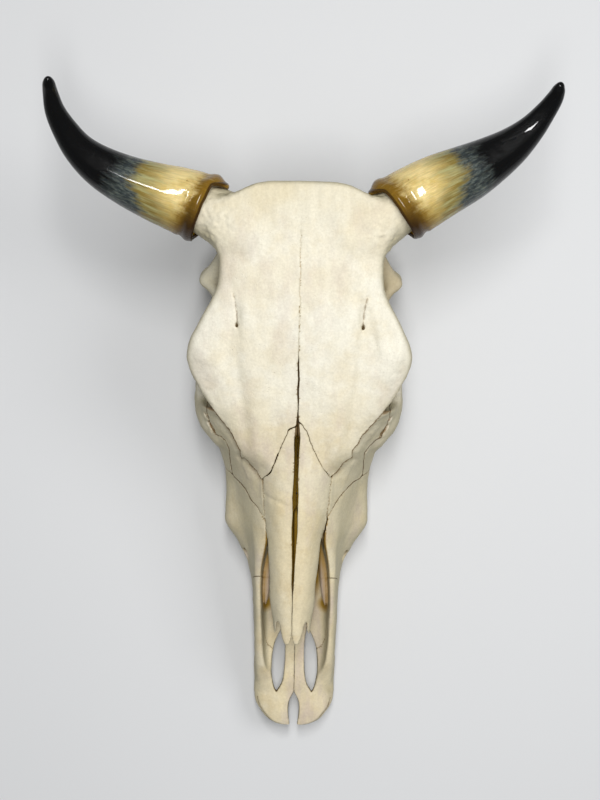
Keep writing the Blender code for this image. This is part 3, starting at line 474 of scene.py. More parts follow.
def main_body(g, above):
    """Face, roof plate and braincase in one, under the roof and ahead of the nape."""
    under = underside_height(g.x, g.s)
    face_width = wall(g.s, g.z, FACE)
    beside = (g.X - face_width[None]) * steepness(face_width, g.step)[None]
    below = (under[:, :, None] - g.Z) * np.clip(steepness(under, g.step), 0.4, 1)[:, :, None]
    back = curve(g.Z, (20, 62, 90, 120, 150), (276, 302, 303, 298, 290))
    face = smax(smax(beside, below, 4.0), (g.S - back) * 0.9, 3.0)
    face = smax(face, 34.0 - g.S, 2.0)

    half = curve(g.S, ROOF_S, ROOF_X)
    depth = curve(g.S, (239, 283, 320, 342, 360, 404, 460), (10, 12, 13, 15, 15, 15, 22))
    edge = curve(g.S, (240, 318, 336), (2.0, 2.5, 8.0))
    plate = smax(smax((g.X - half) * 0.8, -above - depth, edge), 236.0 - g.S, 3.0)

    core_width = wall(g.s, g.z, CORE)
    core = (g.X - core_width[None]) * steepness(core_width, g.step)[None]
    base = curve(g.S, (262, 285, 300, 340, 350, 365, 400, 440, 470, 490),
                 (62, 72, 78, 74, 66, 58, 52, 46, 46, 48))
    core = smax(smax(core, (base - g.Z) * 0.95, 6.0), 262.0 - g.S, 3.0)

    round_off = curve(g.S, (240, 318, 345), (3.0, 3.0, 6.0))
    bone = smax(smin(smin(face, core, 5.0), plate, 9.0), above, round_off)
    z = g.z[None, :]
    x = g.x[:, None]
    nape = curve(z, (40, 60, 95, 120, 150, 172, 184, 196), (476, 474, 470, 470, 478, 488, 494, 496))
    nape = nape - 2.5 - curve(x, (0, 26, 38, 48, 58, 70, 90), (0, 0.4, 2.2, 6, 11, 17, 24))
    nape += 3.5 * hill(x, z, (0, 138), (9, 18))
    nape -= 3 * hill(x, z, (28, 128), (16, 22))
    return smax(bone, (g.S - nape[:, None, :]) * 0.95, 9.0)


SCROLL_SHAPE = limb(SCROLL, SCROLL_RADII, (1.9, 1, 1))

# bars and knobs joined to the cranium: corners of the box each lies in, round of the join, shape
CRANIUM_PARTS = (
    # bar behind the orbit, and floor under it
    ((55, 315, 60), (110, 380, 160), 9.0,
     limb([(84, 349, 142), (89, 348, 128), (90, 348, 110), (88, 346, 92), (86, 343, 76)],
          (9, 8, 7, 7.5, 8.5), (1.2, 0.9, 1))),
    ((40, 262, 50), (105, 340, 95), 6.0, knob((66, 300, 70), (24, 26, 9))),
    # cheek arch, its root and the roof of the joint
    ((50, 255, 50), (110, 450, 110), 7.0,
     limb([(72, 272, 84), (82, 285, 81), (87, 300, 76), (87.5, 320, 72), (86, 342, 72),
           (79, 365, 74), (73, 385, 77), (75, 398, 78), (81.5, 407, 78), (87, 412.5, 78)],
          (8, 9, 8.8, 8.6, 9, 8.2, 7.2, 6.4, 5.0, 3.2), (1.3, 1, 0.82))),
    ((40, 395, 50), (110, 455, 105), 7.0,
     limb([(87, 412.5, 79), (80, 419, 79), (71, 428, 80), (60, 437, 82), (46, 440, 82)],
          (3.2, 5, 7.8, 11, 13), (0.85, 0.8, 1.0))),
    ((35, 390, 45), (100, 440, 90), 7.0, knob((67, 417, 71), (25, 12, 8))),
    # ridge behind the temple
    ((40, 425, 30), (95, 480, 150), 8.0,
     limb([(64, 452, 138), (67, 449, 116), (68, 449, 96), (65, 452, 76), (58, 455, 60)], (6, 8, 8.5, 8, 8))),
    # ear capsule and ear passage
    ((20, 400, 20), (70, 460, 80), 5.0, knob((38, 427, 47), (11, 16, 16), 10)),
    ((20, 400, 20), (80, 460, 90), 5.0, limb([(42, 434, 60), (66, 443, 71)], (9, 7))),
    # condyle and jugular process
    ((0, 440, 20), (70, 505, 110), 5.0,
     limb([(33, 472, 76), (33, 478, 66), (29, 481, 54), (20, 478, 44), (14, 470, 40)],
          (8, 12, 14, 12, 8), (1, 0.95, 1))),
    ((30, 430, -8), (85, 485, 95), 8.0,
     limb([(58, 462, 78), (58, 460, 58), (56, 457, 40), (52, 453, 22), (49, 451, 4)],
          (15, 13, 11, 9, 8.0), (1.5, 0.9, 1))),
    # base of the skull, its knob, and the swelling over the last tooth
    ((0, 340, 35), (40, 485, 90), 6.0,
     limb([(0, 352, 76), (0, 385, 66), (0, 415, 60), (0, 440, 58), (0, 464, 58)],
          (11, 13, 15, 17, 18), (0.85, 1, 1.1))),
    ((0, 400, 30), (40, 450, 70), 5.0, knob((11, 424, 46), (9, 12, 6))),
    ((20, 260, 40), (80, 330, 100), 5.0, knob((47, 292, 64), (18, 23, 13), -10)),
    # wing plate behind the palate, and its hook
    ((0, 250, 10), (45, 370, 100), 4.0,
     limb([(24, 258, 42), (21, 280, 42), (19.5, 305, 44), (20, 332, 50), (23, 352, 62)],
          (10, 15, 18, 17, 12), (3.4, 1, 0.75))),
    ((0, 290, 5), (45, 350, 60), 3.0,
     limb([(19, 334, 42), (19.5, 328, 31), (20.5, 321, 24)], (7, 5, 3.2), (1.7, 1, 1))),
)

# shapes cut out of the skull
OPENINGS = (
    # temple, space under the orbit, hollow of the joint
    ((30, 345, 80), (130, 445, 170), 6.0, knob((84, 392, 118), (34, 36, 30))),
    ((30, 280, 0), (130, 410, 75), 6.0, knob((76, 345, 38), (50, 58, 30))),
    ((40, 400, 50), (100, 445, 90), 3.0, knob((68, 432, 64), (20, 7, 8))),
    # hole for the spinal cord, and the pit beside the condyle
    ((0, 380, 30), (70, 520, 140), 4.0,
     limb([(0, 505, 64), (0, 482, 67), (0, 464, 72), (0, 444, 88), (0, 418, 104)], (19, 18, 17.5, 24, 32))),
    ((20, 455, 40), (70, 500, 110), 4.0, knob((46, 482, 82), (9, 14, 12))),
    # ear hole, and nerve hole of the cheek
    ((45, 420, 50), (90, 460, 90), 1.5, limb([(74, 445, 73), (56, 441, 69)], (4.6, 3.6))),
    ((30, 135, 35), (60, 190, 75), 1.5, limb([(52, 150, 50), (45, 162, 52), (39, 176, 54)], (5.8, 4.8, 3.8))),
)


def cut_orbit(g, f, above):
    """Cut the orbit: two ellipsoids in one, kept under the brow."""
    part = g.box((25, 265, 60), (130, 360, 160))
    at = (g.X[part[0]], g.S[:, part[1]], g.Z[:, :, part[2]])
    orbit = np.minimum(knob((92, 323.5, 107), (62, 23.5, 30))(*at), knob((60, 321, 104), (28, 24, 27))(*at))
    brow = curve(at[1], (265, 300, 328, 345), (5.0, 6.0, 9.0, 16.0))
    f[part] = smax(f[part], -smax(orbit, above[part] + brow, 3.0), 3.0)


def open_nose(g, f, above, roof):
    """Trim the side walls to the crest of their bars, hollow the inside, add nasal plate and scroll."""
    crest = curve(g.S, (0, 36, 44, 60, 100, 152, 172, 190, 202, 214, 240),
                  (24, 29.5, 33.5, 44, 62, 81, 90, 99, 108, 140, 220))
    edge = curve(g.S, (150, 172, 190), (7.0, 4.0, 2.0))
    f = smax(f, (g.Z - 1.0 - crest) * 0.9, edge)
    inner = curve(g.S, INNER_S, INNER_X) - 0.16 * np.clip(crest - g.Z, 0, 30)
    floor = curve(g.S, (40, 80, 110, 160, 240, 284), (33.5, 36, 41, 45, 48, 62))
    cover = curve(g.S, (83, 110, 180, 240, 284), (3.4, 4.6, 6, 9, 13))
    half = curve(g.S, NASAL_S, NASAL_X)
    open_side = 60 * np.clip(g.X - half, 0, 1) * ramp(g.S, 204, -5)
    hollow = smax((g.X - inner) * 0.95, floor - g.Z, 9.0)
    hollow = smax(hollow, (g.Z - (roof[:, :, None] - cover) - open_side) * 0.9, 4.0)
    hollow = smax(smax(hollow, g.S - 286.0, 8.0), 41.0 - g.S, 6.0)
    f = smax(f, -hollow, 2.4)

    thick = curve(g.S, (83, 110, 180, 240), (3.0, 3.8, 4.6, 6.5))
    tip = curve(g.X, TIP_X, TIP_S)
    plate = smax(smax((g.X - half) * 0.95, above, 1.2), -above - thick, 1.2)
    plate = smax(smax(plate, (tip - g.S) * 0.55, 0.7), g.S - 245.0, 1.0)
    f = np.minimum(f, plate)
    g.blend(f, (0, 105, 40), (50, 240, 110), 1.2, SCROLL_SHAPE)
    return f


def front_half(s):
    """Half-width of the front of the upper jaw."""
    return np.interp(s, FRONT_S, FRONT_X)


def front_place(s, z):
    """Distance back from the slanting front edge of the upper jaw."""
    return s + 0.28 * (z - 22) - 1.0


def add_premaxilla(g, f):
    """Flat front of the upper jaw with its two long holes and the slit between the halves."""
    s = front_place(g.S, g.Z)
    half = front_half(s)
    top = curve(g.S, (0, 6, 14, 30, 45, 60), (28.0, 30.0, 31.4, 31.6, 33, 33.5))
    bottom = curve(g.S, (0, 12, 30, 60, 90), (20, 19, 20, 24, 28))
    crown = 0.0095 * np.clip(g.X - 9, 0, None) ** 2 - 0.9 * hill(g.X, g.S, (21, 19), (7, 9))
    ledge = 1.5 * np.clip(g.X - half + 3.6, 0, 1) * ramp(s, 30, -6)
    body = smax((g.X - half) * 0.75, g.Z - top + crown + ledge, 2.0)
    body = smax(body, bottom - 0.002 * g.X ** 2 - g.Z, 3.0)
    body = smax(smax(body, g.S - 66.0, 4.0), 0.4 - s, 2.0)
    f = smin(f, body, 5.0)
    outer = curve(g.S, (29, 32.5, 36, 41, 52, 66, 79, 86, 93, 96),
                  (15.8, 17.0, 18.7, 20.0, 21.6, 20.8, 18.8, 16, 12, 10))
    inner = curve(g.S, (29, 32.5, 36, 40, 46, 55, 74, 86, 93, 96),
                  (16.8, 16.0, 13.8, 11.7, 10.2, 9.3, 8.9, 9.5, 10.8, 11))
    hole = np.abs(g.X - (outer + inner) / 2) - (outer - inner) / 2
    hole = smax(smax(hole, 31.5 - g.S, 2.0), g.S - 95.0, 2.0)
    f = smax(f, -smax(hole, np.abs(g.Z - 32) - 18, 2.0), 1.2)
    slit = curve(g.S, (-5, 0, 8, 16, 22, 27, 31, 34, 60), (3.0, 3.3, 4.6, 5.1, 4.6, 3.0, 1.0, 0.05, 0.05))
    opening = smax(smax(g.X - slit, g.S - 34, 1.0), np.abs(g.Z - 24) - 20, 1.0)
    return smax(f, -opening, 1.0)


def on_roof(line, sunk):
    """Points of a line over the roof, a little under its surface."""
    x, s = np.array(line, float).T
    return [tuple(p) for p in np.stack([x, s, np.diag(roof_height(x, s)) - sunk], 1)]


# small shapes cut out last
DETAILS = (
    # nerve hole and channel over the orbit
    ((40, 350, 135), (70, 390, 180), 0.6,
     limb([(54.7, 371, 163), (53.6, 366, 155), (52, 358, 146)], (1.3, 1.5, 1.6))),
    ((40, 315, 130), (85, 395, 190), 2.5,
     limb(on_roof(((58, 380), (60, 364), (63, 347), (65, 332)), -8.2), (8.0, 9.3, 9.2, 8.0))),
    # tear duct and the pit at its rim
    ((50, 260, 80), (95, 295, 115), 1.0,
     limb([(79, 283, 101), (70, 276, 98), (60, 268, 92)], (2.6, 2.2, 2.0))),
    ((70, 280, 85), (95, 305, 115), 1.2, knob((82, 291, 103), (2.4, 3.0, 2.4))),
)


def grain(points, size, seed):
    """Smooth random field from -1 to 1.

    Values drawn at the corners of a lattice of the given size are blended along each axis by 3t^2 - 2t^3.
    """
    q = np.asarray(points, np.float32) / size
    cell = np.floor(q).astype(int)
    t = q - cell
    t = t * t * (3 - 2 * t)
    table = np.random.default_rng(seed).uniform(-1, 1, (32, 32, 32)).astype(np.float32)
    total = 0.0
    for corner in np.ndindex(2, 2, 2):
        weight = 1.0
        for axis in range(3):
            weight = weight * (t[..., axis] if corner[axis] else 1 - t[..., axis])
        place = (cell + corner) % 32
        total = total + weight * table[place[..., 0], place[..., 1], place[..., 2]]
    return total


def grain_plane(a, b, size, seed):
    """The random field over a grid with the axes a and b."""
    points = np.stack(np.broadcast_arrays(a[:, None], b[None, :], 0.5), -1)
    return grain(points, size, seed)


def stretch_distance(a, b, start, end):
    """Distance from the nearest point of a straight stretch."""
    dx, dy = end[0] - start[0], end[1] - start[1]
    t = np.clip(((a - start[0]) * dx + (b - start[1]) * dy) / (dx * dx + dy * dy), 0, 1)
    return np.hypot(a - start[0] - t * dx, b - start[1] - t * dy)


def line_distance(a, b, line):
    """Distance from the nearest point of a line with corners."""
    return np.minimum.reduce([stretch_distance(a, b, *ends) for ends in zip(line[:-1], line[1:])])


def polygon_distance(a, b, corners):
    """Distance from a polygon's outline, negative inside.

    The distance is to the nearest point of the nearest side; a point lies inside when a ray from it
    crosses an odd number of sides.
    """
    c = np.array(corners, np.float32)
    inside = False
    for (x0, y0), (x1, y1) in zip(c, np.roll(c, -1, axis=0)):
        slope = (x1 - x0) / (y1 - y0) if y1 != y0 else 0.0
        inside = inside ^ (((y0 > b) != (y1 > b)) & (a < slope * (b - y0) + x0))
    best = line_distance(a, b, np.vstack([c, c[:1]]))
    return np.where(inside, -best, best)


# span of a region that reaches right across the skull
WIDE = (-300, 300)


def bone_regions(side):
    """Regions of the bones on one side in the order in which they are parted: kind, outline and span."""
    nasion = NASION_EDGE[side]
    brow = BROW_EDGE[side]
    cheek = CHEEK_EDGE[side]
    return {
        "occipital": (
            ("side", [(441, -20), (560, -20), (560, 112), (460, 112), (457, 100), (450, 70), (441, 52)],
             WIDE),
            ("plan", [(-21, 398), (21, 398), (21, 470), (-21, 470)], (-20, 74)),
        ),
        "parietal": (("side", [(386, 99), (560, 99), (560, 138), (425, 131), (386, 124)], WIDE),),
        "sphenoid": (("side", [(318, -20), (398, -20), (398, 99), (318, 99)], (-62, 62)),),
        "frontal": (
            ("plan", nasion + brow + [(140, 316), (140, 560), (-12, 560), (-12, 290)], (99, 260)),
            ("plan", [(70, 325), (140, 325), (140, 375), (70, 375)], (114, 260)),
        ),
        "nasal": (
            ("plan", [(-12, 60), (26, 60), (26, 158), (25.3, 169), (25, 179), (26.1, 190), (27.9, 201),
                      (29.6, 225), (30.8, 239)] + nasion[::-1] + [(-12, 290)], (78, 260)),
        ),
        "lacrimal": (
            ("plan", [(29.0, 199)] + cheek[:-1] + [(76, 277), (81, 292), (84, 322), (60, 322), (26, 262),
                                                   (26, 199)], (56, 260)),
            ("plan", [(24, 262), (74, 273), (80, 290), (83, 318), (24, 318)], (92, 260)),
        ),
        "zygomatic": (
            ("side", [(236, 80), (243, 64), (256, 57), (292, 55), (330, 54), (392, 60), (380, 86), (372, 122),
                      (276, 122), (262, 112), (248, 98)], (54, 160)),
        ),
        "temporal": (
            ("plan", [(18, 398), (62, 398), (62, 360), (160, 360), (160, 520), (18, 520)], (-40, 120)),
        ),
        "palatine": (
            ("plan", [(-12, 218), (26, 222), (33, 262), (40, 318), (40, 330), (-12, 330)], (-40, 99)),
        ),
        "premaxilla": (
            ("side", [(-20, -20), (45, -20), (60, 28), (104, 52), (142, 64), (147, 90), (135, 120), (60, 84),
                      (-20, 70)], WIDE),
            ("plan", [(-20, -20), (12, -20), (12, 60), (11, 90), (8, 114), (-12, 114)], (20, 60)),
        ),
    }


def region_distance(rows, x, s, z, seed):
    """Distance from a region, negative inside: the union of its prisms, their outlines made uneven."""
    parts = []
    for kind, outline, (low, high) in rows:
        a, b = (x, s) if kind == "plan" else (s, z)
        ripple = [0.55 * grain_plane(a, b, 7.0, seed + k) + 0.5 * grain_plane(a, b, 2.6, seed + 9 + k)
                  for k in (0, 1)]
        flat = polygon_distance(a[:, None] + ripple[0], b[None, :] + ripple[1], outline)
        if kind == "plan":
            parts.append(np.maximum(flat[:, :, None], np.maximum(low - z, z - high)))
        else:
            parts.append(np.maximum(flat, np.maximum(low - x, x - high)[:, None, None]))
    return np.minimum.reduce(parts).astype(np.float32)


def read_field(field, points, low, step):
    """Field values at points between the grid's, blended along each axis."""
    q = np.clip((points - low) / step, 0, np.array(field.shape) - 1.001)
    i = q.astype(int)
    t = q - i
    total = 0.0
    for corner in np.ndindex(2, 2, 2):
        weight = np.prod(np.where(corner, t, 1 - t), axis=1)
        total = total + weight * field[tuple((i + corner).T)]
    return total


def surface(f, low, step):
    """Closed surface where a field is zero, as points and four-sided faces.

    Each cell that the surface crosses gets one point, the mean of the crossings of its edges, and each
    crossed grid edge gets one face, through the points of the four cells around it.
    """
    inside = f < 0
    shape = [n - 1 for n in f.shape]
    count = np.zeros(shape, np.int8)
    for a, b, c in np.ndindex(2, 2, 2):
        count += inside[a:shape[0] + a, b:shape[1] + b, c:shape[2] + c]
    mixed = (count > 0) & (count < 8)
    cells = np.argwhere(mixed)
    index = np.full(shape, -1)
    index[mixed] = np.arange(len(cells))
    total = np.zeros((len(cells), 3))
    hits = np.zeros(len(cells))
    for corner in np.ndindex(2, 2, 2):
        for axis in range(3):
            if corner[axis]:
                continue
            ahead = np.eye(3, dtype=int)[axis]
            start = cells + corner
            va = f[tuple(start.T)]
            vb = f[tuple((start + ahead).T)]
            crossed = (va < 0) != (vb < 0)
            t = np.where(crossed, va / np.where(crossed, va - vb, 1), 0)
            total += np.where(crossed[:, None], np.array(corner) + t[:, None] * ahead, 0)
            hits += crossed
    points = (cells + total / hits[:, None]) * step + np.array(low)
    faces = []
    for axis in range(3):
        near = [slice(1, -1)] * 3
        far = [slice(1, -1)] * 3
        near[axis] = slice(0, -1)
        far[axis] = slice(1, None)
        a = inside[tuple(near)]
        edge = np.argwhere(a != inside[tuple(far)])
        leaving = a[tuple(edge.T)]
        u, v = (np.eye(3, dtype=int)[(axis + k) % 3] for k in (1, 2))
        around = (0 * u, u, u + v, v)
        ring = np.stack([index[tuple((edge + shift).T)] for shift in around], 1)
        ring[~leaving] = ring[~leaving][:, ::-1]
        faces.append(ring)
    return points, np.concatenate(faces)


def face_edges(faces):
    """The ends of every side of four-sided faces."""
    return np.concatenate([faces[:, [k, (k + 1) % 4]] for k in range(4)]).T


def largest_part(points, faces):
    """The largest connected patch: every point takes the lowest label beside it until no label changes."""
    label = np.arange(len(points))
    one, other = face_edges(faces)
    while True:
        low = np.minimum(label[one], label[other])
        fresh = label.copy()
        np.minimum.at(fresh, one, low)
        np.minimum.at(fresh, other, low)
        fresh = fresh[fresh]
        fresh = fresh[fresh]
        if np.array_equal(fresh, label):
            break
        label = fresh
    kept = label == np.bincount(label).argmax()
    number = np.cumsum(kept) - 1
    return points[kept], number[faces[kept[faces[:, 0]]]]


def smoothed(points, faces, share):
    """Move every point part of the way to the mean of the points joined to it."""
    one, other = face_edges(faces)
    near = np.bincount(one, minlength=len(points)).astype(float)
    mean = np.stack([np.bincount(one, points[other, k], len(points)) for k in range(3)], 1)
    return points + share * (mean / near[:, None] - points)


def new_mesh(name, points, faces):
    """Mesh from millimetre points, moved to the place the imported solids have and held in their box."""
    mesh = bpy.data.meshes.new(name)
    inside = np.clip(points * MM + OFFSET, *CAD_BOX)
    mesh.from_pydata(inside.tolist(), [], faces)
    mesh.shade_smooth()
    return mesh


def outward(mesh):
    """Directions square to the mesh at its points."""
    out = np.empty(len(mesh.vertices) * 3, np.float32)
    mesh.vertex_normals.foreach_get("vector", out)
    return out.reshape(-1, 3)


def new_piece(mesh, **values):
    """Object with a mesh, and numbers stored for every point of it."""
    for name, numbers in values.items():
        layer = mesh.attributes.new(name, "FLOAT", "POINT")
        layer.data.foreach_set("value", np.ascontiguousarray(numbers, np.float32))
    return bpy.data.objects.new(mesh.name, mesh)


def place(obj, finish, slot, *nodes):
    """Link a piece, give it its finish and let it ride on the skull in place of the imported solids."""
    bpy.context.scene.collection.objects.link(obj)
    obj.data.materials.append(finish)
    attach(obj, "root")
    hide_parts(*nodes)


def skull_field(g):
    """Distance from the bone on one side of the middle plane, negative inside it, without the horn core."""
    roof = roof_height(g.x, g.s)
    above = (g.Z - roof[:, :, None]) * steepness(roof, g.step)[:, :, None]
    f = main_body(g, above)
    g.blend_all(f, CRANIUM_PARTS)
    cut_orbit(g, f, above)
    g.blend_all(f, OPENINGS, -1)
    f = open_nose(g, f, above, roof)
    f = add_premaxilla(g, f)
    g.blend_all(f, DETAILS, -1)
    return f.astype(np.float32)


def core_line(side):
    """Middle line of a horn core: its root, then along the horn until just past the second station."""
    (first, _), (second, _), (third, _) = HORNS[side][:3]
    end = tuple(0.2 * a + 0.8 * b for a, b in zip(second, third))
    return CORE_ROOT + (first, second, end)


def add_horn_core(g, f, side):
    """Add the horn core, with the bone round it cleared for the wall of the sheath."""
    path, radii = zip(*HORNS[side][:5])
    start = path[0]
    facing = RIM_FACING[side]
    core = limb(core_line(side), CORE_RADII)
    outside = limb(path, [r + 0.9 for r in radii])

    def sheath_space(x, s, z):
        """Distance from the sheath's outside ahead of its rim, less the core."""
        behind = (start[0] - x) * facing[0] + (start[1] - s) * facing[1] + RIM_OUT[side] - 0.8
        return smax(np.maximum(outside(x, s, z), behind), -core(x, s, z), 1.0)

    g.blend(f, (20, 425, 120), (138, 512, 215), 11.0, core)
    g.blend(f, (40, 425, 110), (138, 512, 215), 0.6, sheath_space, -1)
    return f


def relief(points, side):
    """Height in millimetres that weather and growth add to the bone.

    It is the sum of random waves, rougher ones in a ring round the horn base and over brow and cheek,
    ridges and a crease as bell curves of the distance from a line, and a swelling beside each tooth.
    """
    q = points * np.array((SIGN[side], 1, 1))
    x, s, z = points.T
    out = 0.42 * grain(q, 17.0, 3) + 0.20 * grain(q, 6.5, 4) + 0.09 * grain(q, 2.9, 5)
    reach = np.linalg.norm(points - np.array((80, 466, 160)), axis=1)
    rough = np.clip(1 - np.abs(reach - 30) / 14, 0, 1)
    out += rough * (0.85 * grain(q, 3.6, 6) + 0.45 * grain(q, 2.2, 7))
    out += hill(x, s, (88, 320), (12, 26)) * 0.40 * grain(q, 3.4, 8)
    out += hill(x, s, (72, 282), (14, 20)) * (z < 136) * (0.45 * grain(q, 2.8, 10) + 0.25 * grain(q, 5.0, 11))
    lines = [(0.55, 1.3, line) for line in RIDGES] + [(-0.8, 2.2, CREASE)] * (side == "l")
    for height, wide, line in lines:
        out += height * bell(line_distance(x, s, line), 0, wide) * (z > 84)
    for s0, length, _, x0 in TEETH:
        out += 0.8 * hill(s, z, (s0, 34), (0.3 * length, 9)) * (x > x0)
    return out


class Skull:
    """The bone's distance field on both sides, worked out once for all bones."""

    made = None

    def __init__(self, step):
        self.g = Grid(step)
        half = skull_field(self.g)
        self.half = {side: add_horn_core(self.g, half.copy(), side) for side in SIGN}

    @classmethod
    def ready(cls, step):
        """The field for this step, made at its first use."""
        if cls.made is None or cls.made.g.step != step:
            cls.made = cls(step)
        return cls.made

    def whole(self, side):
        """Field seen from one side, from the far side's edge to this side's, and its three axes."""
        other = self.half["l" if side == "r" else "r"]
        field = np.concatenate([other[:0:-1], self.half[side]], 0)
        return field, (np.concatenate([-self.g.x[:0:-1], self.g.x]), self.g.s, self.g.z)


# box that holds each bone: low corner, high corner
BONE_BOX = {
    "frontal": ((-6, 222, 90), (140, 512, 214)),
    "nasal": ((-6, 74, 60), (40, 300, 150)),
    "lacrimal": ((18, 190, 40), (102, 330, 150)),
    "zygomatic": ((44, 228, 44), (112, 402, 134)),
    "temporal": ((10, 350, -6), (112, 510, 128)),
    "palatine": ((-6, 210, -6), (50, 340, 106)),
    "premaxilla": ((-6, -6, -6), (60, 176, 126)),
    "maxilla": ((-6, 20, -6), (80, 334, 126)),
    "occipital": ((-90, 390, -6), (90, 510, 122)),
    "parietal": ((-90, 378, 90), (90, 510, 146)),
    "sphenoid": ((-72, 310, -6), (72, 406, 108)),
}
# bones that cross the middle plane, and bones in which the hollow of the nose lies
MEDIAN = ("occipital", "parietal", "sphenoid")
ROUND_NOSE = ("maxilla", "premaxilla", "palatine")
# bones that lie a little under their neighbours' edge, and more so under the edge of the brow
SUNK = {"lacrimal": (0.4, 2.0), "zygomatic": (0.2, 1.6), "maxilla": (0.15, 0.0)}
# bones that are greyer all over, partly in their own tone and partly as painted shade
GREY_AND_SHADE = {"lacrimal": 0.62, "temporal": 0.6, "maxilla": 0.15}
# first seed of the uneven outlines on each side, and that of the bones that cross the middle plane
OUTLINE_SEED = {"r": 100, "l": 200}
MEDIAN_SEED = 40
# depth under the surface at which the gap of a seam has closed, mm
SEAM_DEPTH = 2.5
# gap at the middle plane where no open slit is seen, mm
MEDIAN_GAP = 0.15
# added to the distance from a line, mm, where its mark must not show
ELSEWHERE = 9
# lowest height of the bone, so that it stays over the floor, mm
LOWEST = 0.05


def sharpen(points, first, second, low, step):
    """Pull points near an edge onto it: Newton steps to where both fields are zero."""
    both = np.stack([read_field(f, points, low, step) for f in (first, second)])
    near = (np.abs(both) < 0.75 * step).all(axis=0)
    q = points[near]
    for _ in range(3):
        value = np.stack([read_field(f, q, low, step) for f in (first, second)], 1)
        slope = np.empty((len(q), 2, 3))
        for axis in range(3):
            ahead = np.eye(3)[axis] * 0.5 * step
            for row, f in enumerate((first, second)):
                rise = read_field(f, q + ahead, low, step) - read_field(f, q - ahead, low, step)
                slope[:, row, axis] = rise / step
        move = np.einsum("nij,nj->ni", np.linalg.pinv(slope, rcond=0.25), value)
        q = q - np.clip(move, -0.5 * step, 0.5 * step)
    out = points.copy()
    out[near] = q
    return out


def own_region(kind, side, x, s, z):
    """Distance from a bone's own part of space, negative inside: its region less the earlier ones."""
    regions = bone_regions(side)
    names = list(regions)

    def distance(name):
        """Distance from one region, with the seed of its outline."""
        if name in MEDIAN:
            return region_distance(regions[name], np.abs(x), s, z, MEDIAN_SEED)
        return region_distance(regions[name], x, s, z, OUTLINE_SEED[side] + 7 * names.index(name))

    everywhere = np.full((len(x), len(s), len(z)), -99.0, np.float32)
    region = distance(kind) if kind in names else everywhere
    for name in names[:names.index(kind)] if kind in names else names:
        region = np.maximum(region, -distance(name))
    return region


def median_cut(kind, side, s, z, f):
    """Distance past the middle plane for a bone on one side, and the gap that stands open along it."""
    wave = SIGN[side] * (0.45 * grain_plane(s, z, 9.0, 31) + 0.35 * grain_plane(s, z, 3.0, 32))
    s = s[:, None]
    wave = (wave * curve(s, (60, 290, 300, 500), (0.3, 0.3, 1.0, 1.0)))[None]
    if kind not in ("nasal", "frontal"):
        return wave, MEDIAN_GAP
    gap = curve(s, GAP_S, GAP_X)
    depth = curve(s, (60, 262, 276, 300, 500), (90, 60, 5, 4, 3))
    crumbs = 0.5 * grain_plane(s[:, 0], z, 2.6, 34) * bell(s, 303, 6)
    overlap = gap * np.clip(1 + f / 2.0, 0, 1)
    return wave, np.where(gap < 0, overlap, (gap + np.abs(crumbs)) * np.clip(1 + f / depth, 0, 1))


def bone_fields(kind, side, gap, x, s, z, f):
    """The distance from the skull as this bone has it, that from its own region, and that from its seams.

    The gap to its neighbours is full at the outer surface and closes under it. It widens at the outer
    end of the edge between nasal and frontal bone and narrows along the ridge there and in the nose.
    """
    region = own_region(kind, side, x, s, z)
    X, S, Z = np.meshgrid(x, s, z, indexing="ij", sparse=True)
    corner = NASION_EDGE[side][-1]
    spot = np.hypot(X - corner[0], S - corner[1])
    beside = line_distance(X, S, RIDGES[2])
    open_gap = gap * np.clip(1 + f / SEAM_DEPTH, 0, 1)
    open_gap = open_gap * (1 + 3.2 * bell(spot, 0, 3.5))
    open_gap = open_gap * (1 - 0.8 * bell(beside, 0, 4))
    seam_field = -region
    if kind in ROUND_NOSE:
        reach = np.interp(S, (0, 145, 160, 262, 270), (32, 32, 22, 22, 0))
        in_nose = ramp(np.abs(X), reach, -2) * (Z > 34)
        open_gap = open_gap * (1 - 0.8 * in_nose)
        seam_field = seam_field + 0.8 * in_nose
    seam_field = seam_field + 0.5 * bell(beside, 0, 4)
    cut = region + open_gap
    plain, under_brow = SUNK.get(kind, (0.0, 0.0))
    shell = f + plain * np.clip(1 + region / 14, 0.25, 1)
    if under_brow:
        shell = shell + under_brow * bell(line_distance(X, S, BROW_EDGE[side]), 0, 4.5) * ramp(Z, 92, 10)
    if kind not in MEDIAN:
        wave, median_gap = median_cut(kind, side, s, z, f)
        cut = np.maximum(cut, wave + median_gap - X)
        seam_field = np.minimum(seam_field, X - wave + curve(S, FAINT_S, FAINT_MM))
        shell = shell + 0.15 * np.clip(wave - X, 0, None)
    return shell, cut, seam_field


def inner_brown_and_shadow(kind, side, points, normals, hollow):
    """Share of the nose's brown at each point: its pocket, the walls under the crest and its passage; on the
    right temporal bone the same brown is a painted shadow.
    """
    x, s, z = points.T
    # painted shadow on the upper faces of the right temporal bone, in the nose's brown
    if kind == "temporal" and side == "r":
        return 0.32 * ramp(x, 58, 10) * ramp(normals[:, 2], 0.2, 0.3)
    if kind not in ROUND_NOSE:
        return np.zeros(len(points))
    pocket = np.clip(1.6 - np.linalg.norm((points - POCKET) / POCKET_SIZE, axis=1), 0, 1)
    under = ramp(curve(s, CREST_S, CREST_Z) - z, 24, 8) * (ramp(x, 24, -3) * ramp(s, 118, 20))
    passage = ramp(x, 33, -3) * ramp(s, 104, 20)
    return np.maximum(np.maximum(pocket, under), 0.9 * passage * ramp(hollow, 0.3, 0.6))


